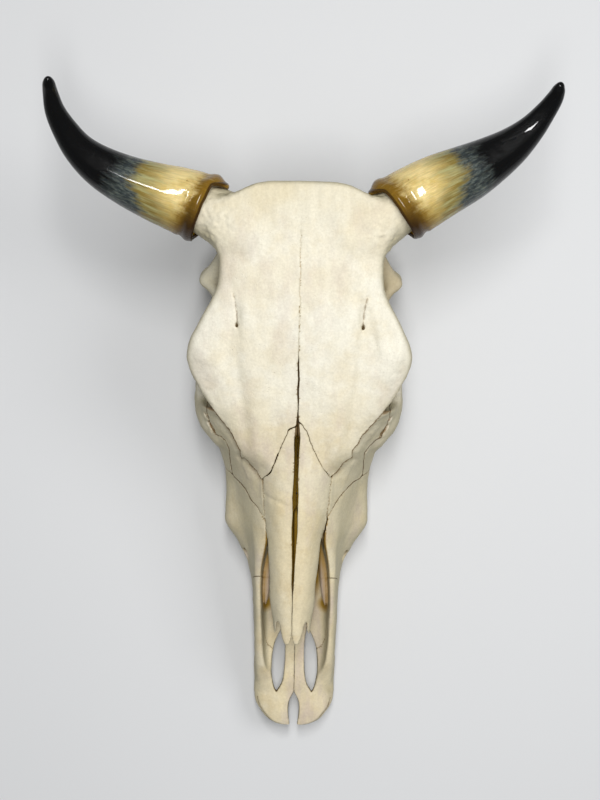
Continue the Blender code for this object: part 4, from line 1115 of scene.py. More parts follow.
def side_grey_and_shade(kind, points, normals):
    """Share of the sides' colour at each point: painted shade where the surface turns away from the top, over
    the outer nasal bones and on the rolled rim of the jaw's front, and for some bones a greyer tone all over,
    partly their own and partly painted shade.
    """
    x, s, _ = points.T
    # painted shade: the sides' colour grows as the surface turns away from the top
    grey = np.maximum(ramp(normals[:, 2], 0.92, -0.5), GREY_AND_SHADE.get(kind, 0.0))
    # painted shade over the outer part of the nasal bones, where their dome turns away
    if kind == "nasal":
        grey = np.maximum(grey, 0.36 * (bell(s, 212, 30) * ramp(x, 12, 9)) * ramp(x, 31, -4))
    # painted shade on the rolled outer rim of the jaw's front
    if kind == "premaxilla":
        grey = np.maximum(grey, 0.75 * ramp(x, 27, 9) * (s < 45))
    return grey


def make_bone(kind, side, step, gap):
    """One bone: the skull where it lies in the bone's region, parted from its neighbours by a thin gap.

    Its surface is where the larger of two distances is zero: that from the skull and that from the
    region. It is made on the side of positive x and turned over for the left side.
    """
    field, axes = Skull.ready(step).whole(side)
    part = tuple(slice(int(np.searchsorted(axis, p)), int(np.searchsorted(axis, q)) + 1)
                 for axis, p, q in zip(axes, *BONE_BOX[kind]))
    x, s, z = (axis[p] for axis, p in zip(axes, part))
    shell, cut, seam_field = bone_fields(kind, side, gap, x, s, z, field[part])
    body = smax(shell, cut, 0.3)
    rim = np.ones(body.shape, bool)
    rim[1:-1, 1:-1, 1:-1] = False
    body[rim] = np.maximum(body[rim], 0.5)
    low = np.array((x[0], s[0], z[0]))
    points, faces = largest_part(*surface(body, low, step))
    points = sharpen(smoothed(points, faces, 0.35), shell, cut, low, step)
    seam = read_field(seam_field, points, low, step)
    name = kind + "_bone" + ("" if kind in MEDIAN else "_" + side)
    mesh = new_mesh(name, points, faces.tolist())
    normals = outward(mesh)
    bpy.data.meshes.remove(mesh)

    # how closed in the surface is round each point; the finish paints hollows ochre brown with it, partly
    # stain and partly painted shade
    field_low = np.array([axis[0] for axis in axes])
    depth = [read_field(field, points + normals * d, field_low, step) / d for d in (3.0, 7.0, 14.0)]
    hollow = 1 - np.clip(np.mean(depth, axis=0), 0, 1)
    scroll = np.zeros(len(points))
    if kind in ("maxilla", "premaxilla", "lacrimal"):
        scroll = np.clip(1 - SCROLL_SHAPE(*points.T), 0, 1)
    height = relief(points, side) * np.clip(seam / 1.5, 0.3, 1)
    if kind == "frontal":
        # nerve slit over the orbit: sunk, and a painted shadow line along it in the seams' dark colour
        slit = line_distance(points[:, 0], points[:, 1], SLIT) + ELSEWHERE * (normals[:, 2] < 0.5)
        height = height - 1.3 * bell(slit, 0, 0.8)
        seam = np.minimum(seam, 0.16 + 0.34 * slit)
    if kind == "premaxilla":
        # painted shadow line along the ledge near the front edge of the upper jaw, in the seams' dark colour
        lip_s = front_place(points[:, 1], points[:, 2])
        lip = np.abs(points[:, 0] - front_half(lip_s) + 2.6)
        lip = lip + ELSEWHERE * (lip_s > 27) + ELSEWHERE * (normals[:, 2] < 0.3)
        seam = np.minimum(seam, 0.20 + 0.35 * lip)
    inner = inner_brown_and_shadow(kind, side, points, normals, hollow)
    # painted shade of the sides and underside, with some bones' greyer tone
    grey = side_grey_and_shade(kind, points, normals)

    points = points + normals * height[:, None]
    points[:, 2] = np.maximum(points[:, 2], LOWEST)
    points[:, 0] *= SIGN[side]
    points[:, 0] += middle_shift(kind, points)
    mesh = new_mesh(name, points, (faces[:, ::-1] if side == "l" else faces).tolist())
    mesh.set_sharp_from_angle(angle=math.radians(SHARP_TURN))
    return new_piece(mesh, seam=np.clip(seam, 0, 6), hollow=hollow, scroll=scroll, inner=inner, side=grey)


def middle_shift(kind, points):
    """How far each point moves sideways with the leaning middle line."""
    x, s = points[:, 0], points[:, 1]
    if kind == "nasal":
        return curve(s, *ROOF_LEAN) * (1 - ramp(np.abs(x), 10, 16) * ramp(s, 185, 20))
    if kind == "frontal":
        return curve(s, *ROOF_LEAN) * bell(x, 0, 30)
    if kind in ("premaxilla", "maxilla", "vomer"):
        return curve(s, *JAW_LEAN)
    return 0.0


def ring_stack(levels, poles, inside_out=False):
    """Points and faces of a stack of rings closed by a pole point at each end."""
    rows, around = levels.shape[:2]
    first = np.arange(around)
    after = (first + 1) % around
    i = np.arange(rows - 1)[:, None] * around
    last = (rows - 1) * around
    quads = np.stack([i + first, i + after, i + around + after, i + around + first], -1).reshape(-1, 4)
    start = np.stack([np.full(around, rows * around), after, first], -1)
    end = np.stack([np.full(around, rows * around + 1), last + first, last + after], -1)
    turn = -1 if inside_out else 1
    faces = [face for group in (quads, start, end) for face in group[:, ::turn].tolist()]
    return np.vstack([levels.reshape(-1, 3), poles]), faces


def tooth_outline(angle, length, width, molar):
    """Half-widths of a cheek tooth at each angle: a rounded box with ribs outside and a waist inside.

    The box is |x/a|^3.4 + |y/b|^3.4 = 1; each rib adds a bell curve of the place along the tooth.
    """
    a = width / 2
    b = length / 2
    c = np.cos(angle)
    n = np.sin(angle)
    r = (np.abs(c / a) ** 3.4 + np.abs(n / b) ** 3.4) ** (-1 / 3.4)
    y = r * n
    ribs = ((-b + 1.6, 1.2, 1.5), (0.0, 1.5, 1.3), (b - 1.8, 1.0, 1.3), (-b / 2, 0.7, 2.2), (b / 2, 0.6, 2.2))
    if not molar:
        ribs = ((-b + 1.6, 1.0, 1.4), (b - 1.6, 1.0, 1.4), (-b / 4, 0.9, 2.2))
    for rib_y, height, wide in ribs:
        r = r + np.clip(c * 2, 0, 1) * height * bell(y, rib_y, wide)
    if molar:
        r = r - np.clip(-c * 2, 0, 1) * 2.6 * bell(y, 0, 2.4)
        r = r + np.clip(-c * 3 - 1.4, 0, 1) * 1.2 * bell(y, 0, 1.2)
    return r * c, r * n


def tooth_levels(s0, length, width, x0, rows, around):
    """Rings of one cheek tooth and the share of each that belongs to the biting face.

    The first parameter is the angle round the tooth. The second runs from the root's middle out and
    down the wall, over the biting edge and in to the middle of the biting face, where the two
    crescent cups of a molar are sunk by bell curves.
    """
    angle = angles(around)
    molar = s0 > FIRST_MOLAR
    cx, cy = tooth_outline(angle, length - 0.9, width, molar)
    t = np.linspace(0, 1, rows)[:, None]
    down = ramp(t, WALL_START, BITE_START - WALL_START)
    inward = ramp(t, BITE_START, 1 - BITE_START)
    scale = np.where(t > BITE_START, 1 - 0.97 * inward ** 1.3, 0.4 + 0.6 * ramp(t, 0, WALL_START))
    scale = scale * (1 + 0.035 * np.sin(down * math.pi) - 0.05 * down)
    outward_side = np.clip(cx / (width / 2), -1, 1)
    wave = 0.5 - 0.5 * np.cos(4 * math.pi * (cy / length + 0.5)) if molar else (2 * cy / length) ** 2
    edge = np.where(outward_side > 0, 0.3 + 2.6 * wave * outward_side, 1.0 - 1.4 * wave * outward_side)
    px = cx * scale
    py = cy * scale
    flat = 1.3 + 0.35 * np.cos(px * 1.4) * np.cos(py * 0.9)
    top = TOOTH_ROOT + (edge - TOOTH_ROOT) * down
    z = np.where(inward > 0, edge * (1 - inward) ** 2 + flat * (1 - (1 - inward) ** 2), top)
    for y0 in (-length / 4, length / 4) if molar else (0.0,):
        bow = px - 0.9 * np.cos((py - y0) / (length * 0.13))
        z = z + np.where(inward > 0, 3.0 * hill(py, bow, (y0, 0), (length * 0.15, width * 0.11)), 0)
    groove = 0.13 * np.sin(angle * 37 + 3 * np.sin(angle * 5))
    groove = groove * np.clip(down * 4, 0, 1) * (1 - np.clip(inward * 3, 0, 1))
    px = px + np.cos(angle) * groove
    rings = np.stack([x0 + px + (z - 20) * 0.06, s0 + py + px * 0.10, np.maximum(z, 0.0)], -1)
    return rings, np.broadcast_to(np.clip(inward * 5, 0, 1), (rows, around))


def make_tooth_row(side, rows, around=96):
    """The six cheek teeth of one side, each a stack of rings closed at the root and on the biting face."""
    points = np.empty((0, 3))
    faces = []
    biting = []
    for s0, length, width, x0 in TEETH:
        rings, share = tooth_levels(s0, length, width, x0, rows, around)
        tooth, sides = ring_stack(rings, [rings[0].mean(0), rings[-1].mean(0)], side == "r")
        faces += [[i + len(points) for i in face] for face in sides]
        points = np.concatenate([points, tooth])
        biting += [share.ravel(), [0.0, 1.0]]
    points[:, 0] *= SIGN[side]
    return new_piece(new_mesh("cheek_teeth_" + side, points, faces), biting=np.concatenate(biting))


def frames_along(path, facing):
    """Directions ahead, across and up along a path; the first faces as the rim does."""
    ahead = unit(np.gradient(path, axis=0))
    share = np.clip(1 - way_along(path) / 32, 0, 1)[:, None] ** 1.5
    ahead = unit(unit(np.array(facing)) * share + ahead * (1 - share))
    across = unit(np.cross(ahead, (0, 0, 1.0)))
    return ahead, across, np.cross(across, ahead)


def make_sheath(side, stations, around=128):
    """Horn sheath: a ring carried along the horn's middle line, back inside over a rounded rim.

    The first parameter is the angle round the horn and the second the way from the tip to the rim and on
    into the socket. The radius is the horn's own plus growth rings, long flats, a swollen collar and, on
    the side of the nape, a tongue of the rim that reaches back towards the skull and flares.
    """
    fine = smooth_path(*zip(*HORNS[side]), 40)
    ahead, across, up = frames_along(fine[:, :3], RIM_FACING[side])
    far = way_along(fine[:, :3])
    length = far[-1]
    angle = angles(around)
    turn = across[:, None] * np.cos(angle)[None, :, None] + up[:, None] * np.sin(angle)[None, :, None]

    def ring(at, radius, shift):
        """Points of rings at distances along the middle line, their radius and their shift along it."""
        spot = np.clip(at + shift, 0, length)
        k = np.clip(np.searchsorted(far, spot) - 1, 0, len(far) - 2)
        u = ((spot - far[k]) / (far[k + 1] - far[k]))[..., None]
        centre = fine[k, :3] * (1 - u) + fine[k + 1, :3] * u
        j = np.arange(around)[None, :]
        direction = turn[k, j] * (1 - u) + turn[k + 1, j] * u
        behind = np.clip(at + shift, None, 0)[..., None] * ahead[0]
        beyond = np.clip(at + shift - length, 0, None)[..., None] * ahead[-1]
        return centre + behind + beyond + direction * radius[..., None]

    def round_noise(turns, size, seed, stretch):
        """Random field round the horn, stretched along it."""
        at = np.stack([np.cos(grid_a) * turns, np.sin(grid_a) * turns, grid_t * stretch], -1)
        return grain(at, size, seed)

    along = (length + TIP_LENGTH) * (1 - np.linspace(0.002, 1, stations) ** 1.15)
    end = np.clip((length + TIP_LENGTH - along) / 8.5, 0, 1)
    radius = (np.interp(along, far, fine[:, 3]) * np.sqrt(1 - (1 - end) ** 2))[:, None]
    grid_a, grid_t = np.meshgrid(angle, along)
    rings = 0.16 * np.sin(grid_t / 2.4 + 1.8 * round_noise(22, 12.0, 51, 0.8)) * bell(grid_t, 0, 30)
    flats = 0.35 * round_noise(20, 11.0, 52, 0.15)
    collar = 1.1 * bell(grid_t, 5, 4.6) - 0.8 * bell(grid_t, 13.5, 3.2)
    nape = bell(from_angle(grid_a, math.pi), 0, 0.6)
    flare = nape * (2.2 * bell(grid_t, 9, 7) - 2.6 * bell(grid_t, 0, 5))
    front = np.clip(np.sin(grid_a), 0, 1) ** 2
    taper = FRONT_TAPER[side] * front * 5 * np.log1p(np.exp((38 - grid_t) / 5))
    small = np.clip(radius / 12, 0, 1)
    shell = radius * (1 + 0.012 * np.cos(2 * grid_a + 0.6)) + (rings + flats + collar + flare) * small + taper

    back = np.full(around, -RIM_OUT[side])
    for centre, size, wide in RIM_REACH[side]:
        back += size * bell(from_angle(angle, math.radians(centre)), 0, math.radians(wide), 4)
    back += 0.5 * round_noise(25, 7.0, 53 + (side == "l"), 0.0)[-1]
    shift = -back[None] * np.clip(1 - grid_t / 34, 0, 1) ** 1.3
    outer = ring(grid_t, shell, shift)

    thick = 3.2 + 3.4 * nape[-1]
    lip = np.linspace(0, math.pi, 12)[1:-1, None]
    lip_r = shell[-1] - thick / 2 * (1 - np.cos(lip))
    rim = ring(np.zeros_like(lip_r), lip_r, shift[-1] - thick / 2 * np.sin(lip) * 1.1)

    depth = np.linspace(0, SOCKET, 34)[:, None] * np.ones(around)
    core = smooth_path(core_line(side)[2:], CORE_RADII[2:], 8)
    room = np.interp(depth, way_along(core[:, :3]), core[:, 3]) + 1.3
    mixing = np.clip(depth / 14, 0, 1)
    deep = np.minimum(room, np.interp(depth, far, fine[:, 3]) - 2.5)
    inner_r = (shell[-1] - thick) * (1 - mixing) + deep * mixing
    inner_r = inner_r * np.sqrt(np.clip((46 - depth) / 46 * 4, 0, 1))
    inner = ring(depth, inner_r, shift[-1] * np.clip(1 - depth / 20, 0, 1))

    levels = np.concatenate([outer, rim, inner], 0)
    tip = fine[-1, :3] + ahead[-1] * TIP_LENGTH
    points, faces = ring_stack(levels, np.stack([tip, levels[-1].mean(0)]), side == "r")
    points[:, 0] *= SIGN[side]
    poles = [length, -50]
    value_along = np.concatenate([grid_t.ravel(), np.full(lip_r.size, -1.0), -2 - depth.ravel(), poles])
    value_round = np.concatenate([np.tile(angle, len(levels)), [0, 0]])
    value_lip = np.zeros(len(points))
    value_lip[grid_t.size:grid_t.size + lip_r.size] = (np.sin(lip) ** 2 * nape[-1]).ravel()
    return new_piece(new_mesh("horn_" + side, points, faces), along=value_along / length, lip=value_lip,
                     round_x=np.cos(value_round), round_y=np.sin(value_round))


def make_vomer(around=40, stations=90):
    """Blade in the middle of the nose: a flat rounded section carried back, its height and width growing.

    The section is |x/a|^2.5 + |z/b|^2.5 = 1 and both half-axes shrink to nothing at the two ends.
    """
    t = np.linspace(0, 1, stations)[1:-1, None]
    s = BLADE_START + BLADE_LENGTH * t
    knots = (98, 130, 170, 206)
    foot = curve(s, knots, (37.5, 40, 44.5, 47.5))
    top = curve(s, knots, (45.5, 57.5, 65.5, 71.5))
    half = curve(s, knots, (1.7, 2.3, 2.7, 3.0))
    end = np.sqrt(np.clip(1 - np.abs(2 * t - 1) ** 14, 0, 1))
    angle = angles(around)
    r = (np.abs(np.cos(angle)) ** 2.5 + np.abs(np.sin(angle)) ** 2.5) ** (-1 / 2.5)
    x = half * end * r * np.cos(angle) + 0.5 * np.sin(s / 21)
    z = (foot + top) / 2 + (top - foot) / 2 * end * r * np.sin(angle)
    levels = np.stack([x, np.broadcast_to(s, x.shape), z], -1)
    poles = np.array([[0, BLADE_START, 41.5], [0, BLADE_START + BLADE_LENGTH, 59.5]])
    points, faces = ring_stack(levels, poles)
    points[:, 0] += middle_shift("vomer", points)
    # the vomer takes half of the sides' painted shade, some of the hollows' stain and painted shade, and the
    # full brown of the nose's inside
    values = {"seam": 6.0, "hollow": 0.5, "scroll": 0.0, "side": 0.5, "inner": 1.0}
    return new_piece(new_mesh("vomer_bone", points, faces),
                     **{name: np.full(len(points), value) for name, value in values.items()})


class Nodes:
    """Short way to wire a material. Its base colour is laid on in coats."""

    def __init__(self, name):
        self.material = bpy.data.materials.new(name)
        self.material.use_nodes = True
        self.tree = self.material.node_tree
        self.shader = self.tree.nodes["Principled BSDF"]
        self.at = self.add("TexCoord", {})["Object"]
        self.base = None

    def link(self, source, target):
        """Wire an output, or set a plain value, into an input."""
        if isinstance(source, bpy.types.NodeSocket):
            self.tree.links.new(source, target)
        else:
            target.default_value = source

    def add(self, kind, inputs, **settings):
        """Outputs of a new node with its settings, and its inputs given by name or number."""
        node = self.tree.nodes.new("ShaderNode" + kind)
        for key, value in settings.items():
            setattr(node, key, value)
        for key, value in inputs.items():
            self.link(value, node.inputs[key])
        return node.outputs

    def value(self, name):
        """A number stored on the piece's points."""
        return self.add("Attribute", {}, attribute_name=name)["Fac"]

    def axis(self, name):
        """One of the object coordinates."""
        return self.add("SeparateXYZ", {0: self.at})[name]

    def vector(self, x, y, z):
        """Vector from three numbers."""
        return self.add("CombineXYZ", {0: x, 1: y, 2: z})[0]

    def stretched(self, *scale):
        """Object coordinates, scaled differently along each axis."""
        return self.add("Mapping", {"Scale": scale, "Vector": self.at})["Vector"]

    def noise(self, scale, detail, rough, vector=None):
        """Noise pattern from 0 to 1."""
        inputs = {"Scale": scale, "Detail": detail, "Roughness": rough, "Vector": vector or self.at}
        return self.add("TexNoise", inputs)["Fac"]

    def cells(self, scale, vector=None):
        """Distance to the nearest of scattered points."""
        return self.add("TexVoronoi", {"Scale": scale, "Vector": vector or self.at})["Distance"]

    def step(self, value, low, high, start=0.0, end=1.0, smooth=True):
        """Value carried from one range to another and held at its ends."""
        inputs = {"From Min": low, "From Max": high, "To Min": start, "To Max": end, "Value": value}
        return self.add("MapRange", inputs, interpolation_type="SMOOTHSTEP" if smooth else "LINEAR")["Result"]

    def math(self, operation, a, b=0.0, c=0.0):
        """Arithmetic on numbers."""
        return self.add("Math", {0: a, 1: b, 2: c}, operation=operation)["Value"]

    def times(self, a, b):
        """Product of two numbers."""
        return self.math("MULTIPLY", a, b)

    def plus(self, a, b):
        """Sum of two numbers."""
        return self.math("ADD", a, b)

    def line(self, value, slope, start):
        """A number times a slope, plus a start."""
        return self.math("MULTIPLY_ADD", value, slope, start)

    def mix(self, factor, a, b, blend="MIX"):
        """Two colours mixed."""
        a, b = (c if isinstance(c, bpy.types.NodeSocket) else (*c, 1.0) for c in (a, b))
        return self.add("Mix", {"Factor": factor, 6: a, 7: b}, data_type="RGBA", blend_type=blend)[2]

    def coat(self, factor, tone):
        """Lay a colour over the base."""
        self.base = self.mix(factor, self.base, tone)

    def darken(self, value):
        """Multiply the base by a number."""
        grey = self.add("CombineColor", {0: value, 1: value, 2: value})["Color"]
        self.base = self.mix(1.0, self.base, grey, "MULTIPLY")

    def finished(self, height=None, strength=0.0, distance=0.0, **inputs):
        """The material, with the relief of a height times a distance in metres, and its other values."""
        self.link(self.base, self.shader.inputs["Base Color"])
        if height is not None:
            bump = {"Strength": strength, "Distance": distance, "Height": height}
            inputs["Normal"] = self.add("Bump", bump)["Normal"]
        for name, value in inputs.items():
            self.link(value, self.shader.inputs[name.replace("_", " ")])
        return self.material


def bone_finish(look):
    """Dry bone: bleached white on top, creamier towards the nose, and painted shade in a greyer colour on the
    sides and underside.

    Faint pinkish and ochre patches lie over it, hollows are ochre brown, partly stain and partly painted
    shade, the seams thin and dark, and painted shadow lines follow the nerve slit and the ledge of the jaw's
    front; a painted shadow lies on the right temporal bone.
    """
    n = Nodes("dry_bone")
    nose = n.step(n.axis("Y"), 0.05, -0.08)
    patch = n.step(n.noise(15.0, 4.0, 0.6), 0.40, 0.60)
    warm = n.step(n.noise(42.0, 5.0, 0.65), 0.45, 0.66)
    pink = n.step(n.noise(26.0, 5.0, 0.65, n.stretched(1.3, 0.5, 1.0)), 0.48, 0.68)
    poll = n.times(n.step(n.axis("Y"), 0.13, 0.215), 0.4)
    n.base = n.mix(n.line(nose, 0.70, n.line(patch, 0.36, poll)), look.white, look.cream)
    n.coat(n.times(warm, n.line(nose, 0.32, 0.16)), look.ochre)
    n.coat(n.times(pink, n.line(nose, 0.42, 0.28)), look.pink)
    # the sides' colour is also laid a little over the back of the skull, towards the horns
    n.coat(n.step(n.axis("Y"), 0.13, 0.20, 0.0, 0.22), look.side)
    # painted shade: the sides' colour where the surface turns away from the top
    n.coat(n.times(n.value("side"), look.painted_side_shade_strength), look.side)
    n.darken(n.step(n.noise(520.0, 3.0, 0.65), 0.30, 0.72, 0.90, 1.04, False))
    n.darken(n.step(n.noise(170.0, 4.0, 0.6, n.stretched(1.0, 0.16, 1.0)), 0.3, 0.72, 0.93, 1.03, False))
    # hollows ochre brown: partly stain, partly painted shade
    n.coat(n.times(n.step(n.value("hollow"), 0.30, 0.92), 0.8), look.stain)
    scroll = n.mix(n.step(n.axis("Y"), -0.150, -0.120), look.scroll, look.scroll_back)
    n.coat(n.times(n.step(n.value("scroll"), 0.0, 0.8), 0.9), scroll)
    # the nose's inside brown, which also paints a shadow on the right temporal bone
    n.coat(n.value("inner"), look.inner)
    uneven = n.step(n.noise(260.0, 3.0, 0.6), 0.32, 0.68, 0.45, 1.5, False)
    # dark seams, and painted shadow lines along the nerve slit and the ledge of the jaw's front
    seam = n.step(n.math("DIVIDE", n.value("seam"), uneven), look.seam_width * 0.4, look.seam_width, 1.0, 0.0)
    faint = n.step(n.axis("Y"), 0.050, 0.068, look.seam_strength, look.seam_strength * 0.72)
    # the seam is warmer only along the middle line behind the orbits
    middle = n.step(n.times(n.axis("X"), n.axis("X")), 0.00005, 0.0002, 1.0, 0.0)
    behind = n.times(n.step(n.axis("Y"), 0.066, 0.082), middle)
    n.coat(n.times(seam, faint), n.mix(behind, look.seam, look.seam_warm))
    rough = n.step(n.noise(60.0, 4.0, 0.6), 0.3, 0.7, 0.50, 0.68, False)
    fibres = n.noise(650.0, 4.0, 0.65, n.stretched(1.0, 0.35, 1.0))
    pores = n.step(n.cells(340.0), 0.0, 0.26, 0.0, 1.0)
    rare = n.step(n.noise(55.0, 2.0, 0.5), 0.50, 0.64)
    pit = n.times(n.math("SUBTRACT", 1.0, pores), rare)
    waves = n.times(n.noise(90.0, 4.0, 0.6), 3.0)
    height = n.plus(n.math("SUBTRACT", fibres, n.times(pit, 1.6)), waves)
    return n.finished(height, 0.55, 0.0004, Roughness=rough, Specular_IOR_Level=0.36)


def tooth_finish(look):
    """Cheek teeth: ivory enamel with brown tartar near the jaw and on the biting face."""
    n = Nodes("tooth_enamel")
    stain = n.step(n.noise(90.0, 5.0, 0.65, n.stretched(1.0, 1.0, 0.3)), 0.42, 0.72)
    n.base = n.mix(stain, look.enamel, look.tartar)
    n.coat(n.times(n.value("biting"), 0.6), look.tartar)
    n.darken(n.step(n.noise(300.0, 3.0, 0.6, n.stretched(1.0, 1.0, 0.12)), 0.35, 0.7, 0.8, 1.04, False))
    height = n.noise(500.0, 3.0, 0.6, n.stretched(1.0, 1.0, 0.2))
    return n.finished(height, 0.4, 0.0003, Roughness=0.34)


def horn_finish(side, look):
    """Polished horn in bands from the rim: amber, honey, olive, slate and black, streaked lengthwise.

    The side of the nape is lighter and the side of the nose browner. Each band's edge wanders with
    noise that is stretched along the horn.
    """
    n = Nodes("horn_" + side)
    along, across, up = (n.value(name) for name in ("along", "round_x", "round_y"))

    def ring(stretch):
        """Place round and along the horn, as a vector for its patterns."""
        return n.vector(across, up, n.times(along, stretch))

    def about_half(pattern):
        """Pattern less its mean, so that it moves an edge both ways."""
        return n.math("SUBTRACT", pattern, 0.5)

    streak = n.noise(6.0, 6.0, 0.65, ring(0.6))
    blotch = n.noise(2.4, 6.0, 0.62, ring(4.5))
    fine = n.noise(17.0, 5.0, 0.65, ring(1.3))
    place_along = n.plus(n.plus(along, n.times(about_half(streak), 0.15)), n.times(about_half(blotch), 0.15))
    place_along = n.line(about_half(fine), 0.045, place_along)
    edges = look.edges_r if side == "r" else look.edges_l
    nose = n.step(across, 0.05, 0.95)
    nape = n.step(across, -0.15, -0.9)
    n.base = n.mix(n.step(blotch, 0.35, 0.7), look.honey, look.cream)
    n.coat(n.times(nape, 0.55), look.cream)
    n.coat(n.times(nose, n.step(blotch, 0.32, 0.62, 0.45, 0.92)), look.olive)
    flecks = n.step(n.cells(4.5, ring(6.0)), 0.06, 0.17, 0.75, 0.0)
    some = n.step(n.noise(3.0, 2.0, 0.5, ring(6.0)), 0.50, 0.60)
    n.coat(n.times(flecks, some), look.fleck)
    amber_edge = n.line(across, -0.025, place_along)
    darker = n.line(nose, 0.075, place_along)
    n.base = n.mix(n.step(amber_edge, edges[0], edges[1]), look.amber, n.base)
    green = n.mix(n.step(streak, 0.4, 0.65), look.olive, look.green)
    n.coat(n.step(darker, edges[2], edges[3]), green)
    slate = n.mix(n.step(n.noise(9.0, 6.0, 0.7, ring(3.0)), 0.40, 0.68), look.slate, look.mist)
    n.coat(n.step(darker, edges[3], edges[4]), slate)
    n.coat(n.step(place_along, edges[4], edges[5]), look.black)
    n.darken(n.step(n.noise(30.0, 4.0, 0.65, ring(0.5)), 0.3, 0.72, 0.74, 1.10, False))
    n.coat(n.times(n.step(along, 0.03, 0.13, 1.0, 0.0), n.step(across, -0.3, 0.8, 0.0, 0.95)), look.rim)
    n.coat(n.step(n.math("ABSOLUTE", n.plus(along, 0.002)), 0.002, 0.010, 0.85, 0.0), look.rim)
    lip = n.step(n.value("lip"), 0.25, 0.7)
    n.coat(n.math("MAXIMUM", n.step(along, -0.02, -0.011, 1.0, 0.0), lip), look.inside)
    ripple = n.plus(n.noise(30.0, 3.0, 0.5, ring(0.6)), n.times(blotch, 1.5))
    return n.finished(ripple, 0.3, 0.0016, Roughness=n.step(blotch, 0.3, 0.7, 0.18, 0.30, False),
                      Coat_Weight=0.45, Coat_Roughness=0.035, Coat_IOR=1.5, Specular_IOR_Level=0.04,
                      Subsurface_Weight=0.12, Subsurface_Radius=(0.004, 0.002, 0.0008), Subsurface_Scale=1.0)


def floor_finish(look):
    """Pale matt floor."""
    n = Nodes("floor")
    n.base = n.mix(n.noise(3.0, 2.0, 0.5), look.floor, [c * 0.97 for c in look.floor])
    return n.finished(Roughness=0.8, Specular_IOR_Level=0.2)


def tint(name, text, default):
    """Colour property."""
    return FloatVectorProperty(name=name, description=text, subtype="COLOR", min=0, max=1, default=default)


def bands(name, default):
    """Property with the places where a horn's colours change."""
    text = "Shares of the length where the colours change"
    return FloatVectorProperty(name=name, description=text, size=6, default=default)


def amount(name, text, default, low, high, subtype="NONE"):
    """Number property."""
    return FloatProperty(name=name, description=text, default=default, min=low, max=high, subtype=subtype)


def count(name, text, default, low, high):
    """Whole number property."""
    return IntProperty(name=name, description=text, default=default, min=low, max=high)


class SkullSizes(bpy.types.PropertyGroup):
    """Sizes of the bones' surfaces."""

    step: amount("Mesh step", "Spacing of the bones' surface points, mm", 1.1, 0.9, 4)
    gap: amount("Seam gap", "Half the width of a seam at the surface, mm", 0.13, 0, 1)
    tooth_rows: count("Tooth rows", "Rows of points down a tooth", 56, 16, 120)
    horn_rings: count("Horn rings", "Rings of points along a horn", 230, 40, 600)


class BoneLook(bpy.types.PropertyGroup):
    """Colours of bone and teeth."""

    white: tint("White", "Bleached bone on top", (0.86, 0.82, 0.69))
    cream: tint("Cream", "Patches, and towards the nose", (0.76, 0.66, 0.445))
    ochre: tint("Ochre", "Small warm patches", (0.66, 0.53, 0.30))
    pink: tint("Pink", "Faint pinkish grey patches", (0.60, 0.50, 0.42))
    # painted shade: the colour of the sides and underside and how strongly it is laid on
    side: tint("Side", "Sides and underside", (0.46, 0.415, 0.27))
    painted_side_shade_strength: amount("Side strength", "How grey the sides are", 0.9, 0, 1)
    # stain and painted shade in hollows
    stain: tint("Stain", "Colour in hollows", (0.21, 0.115, 0.03))
    scroll: tint("Scroll", "Tips of the thin scrolls in the nose", (0.60, 0.47, 0.36))
    scroll_back: tint("Scroll behind", "Scrolls behind their tips", (0.30, 0.17, 0.035))
    # also the colour of the painted shadow on the right temporal bone
    inner: tint("Inner", "Inside of the nose, seen through its gaps", (0.34, 0.20, 0.025))
    # also the colour of the painted shadow lines along the nerve slit and the jaw's front ledge
    seam: tint("Seam", "Colour along the seams", (0.16, 0.09, 0.03))
    seam_warm: tint("Warm seam", "Colour along the seam of the forehead", (0.42, 0.22, 0.06))
    seam_width: amount("Seam width", "How far the seam's colour reaches, mm", 0.5, 0.1, 3)
    seam_strength: amount("Seam strength", "How dark the seams are", 0.7, 0, 1)
    enamel: tint("Enamel", "Side of the teeth", (0.76, 0.70, 0.56))
    tartar: tint("Tartar", "Stain on the teeth", (0.30, 0.20, 0.10))


class HornLook(bpy.types.PropertyGroup):
    """Colours of the horns and where along them they change."""

    amber: tint("Amber", "Band at the base", (0.21, 0.115, 0.012))
    honey: tint("Honey", "Middle", (0.62, 0.455, 0.145))
    cream: tint("Cream", "Light parts of the middle", (0.84, 0.68, 0.32))
    olive: tint("Olive", "Brown side of the middle", (0.22, 0.155, 0.035))
    green: tint("Green", "Light streaks before the dark part", (0.38, 0.36, 0.16))
    slate: tint("Slate", "Mottled band", (0.030, 0.038, 0.040))
    mist: tint("Mist", "Light streaks of the mottled band", (0.13, 0.15, 0.13))
    black: tint("Black", "Tip", (0.003, 0.003, 0.003))
    fleck: tint("Fleck", "Small spots", (0.22, 0.12, 0.03))
    rim: tint("Rim", "Dark edge of the opening", (0.028, 0.012, 0.003))
    inside: tint("Inside", "Inner face", (0.33, 0.18, 0.012))
    edges_r: bands("Right bands", (0.05, 0.15, 0.21, 0.34, 0.42, 0.52))
    edges_l: bands("Left bands", (0.05, 0.14, 0.18, 0.33, 0.40, 0.50))


class StageLook(bpy.types.PropertyGroup):
    """Floor and lights."""

    floor: tint("Floor", "Floor colour", (0.70, 0.705, 0.71))
    side_light: amount("Side light", "Power, W", 8.0, 0, 1000, "POWER")
    window: amount("Window light", "Power, W", 28.0, 0, 1000, "POWER")
    gleam: amount("Gleam", "Power of the lights mirrored by the horns, W", 29.0, 0, 1000, "POWER")
    world: amount("Sky", "Strength of the even light", 0.17, 0, 10)


def settings():
    """The scene, which holds the values."""
    return bpy.context.scene


def shared_finish(name):
    """Material of that name, made at its first use."""
    made = bpy.data.materials.get(name)
    if made is None:
        made = {"dry_bone": bone_finish, "tooth_enamel": tooth_finish}[name](settings().bone_look)
    return made


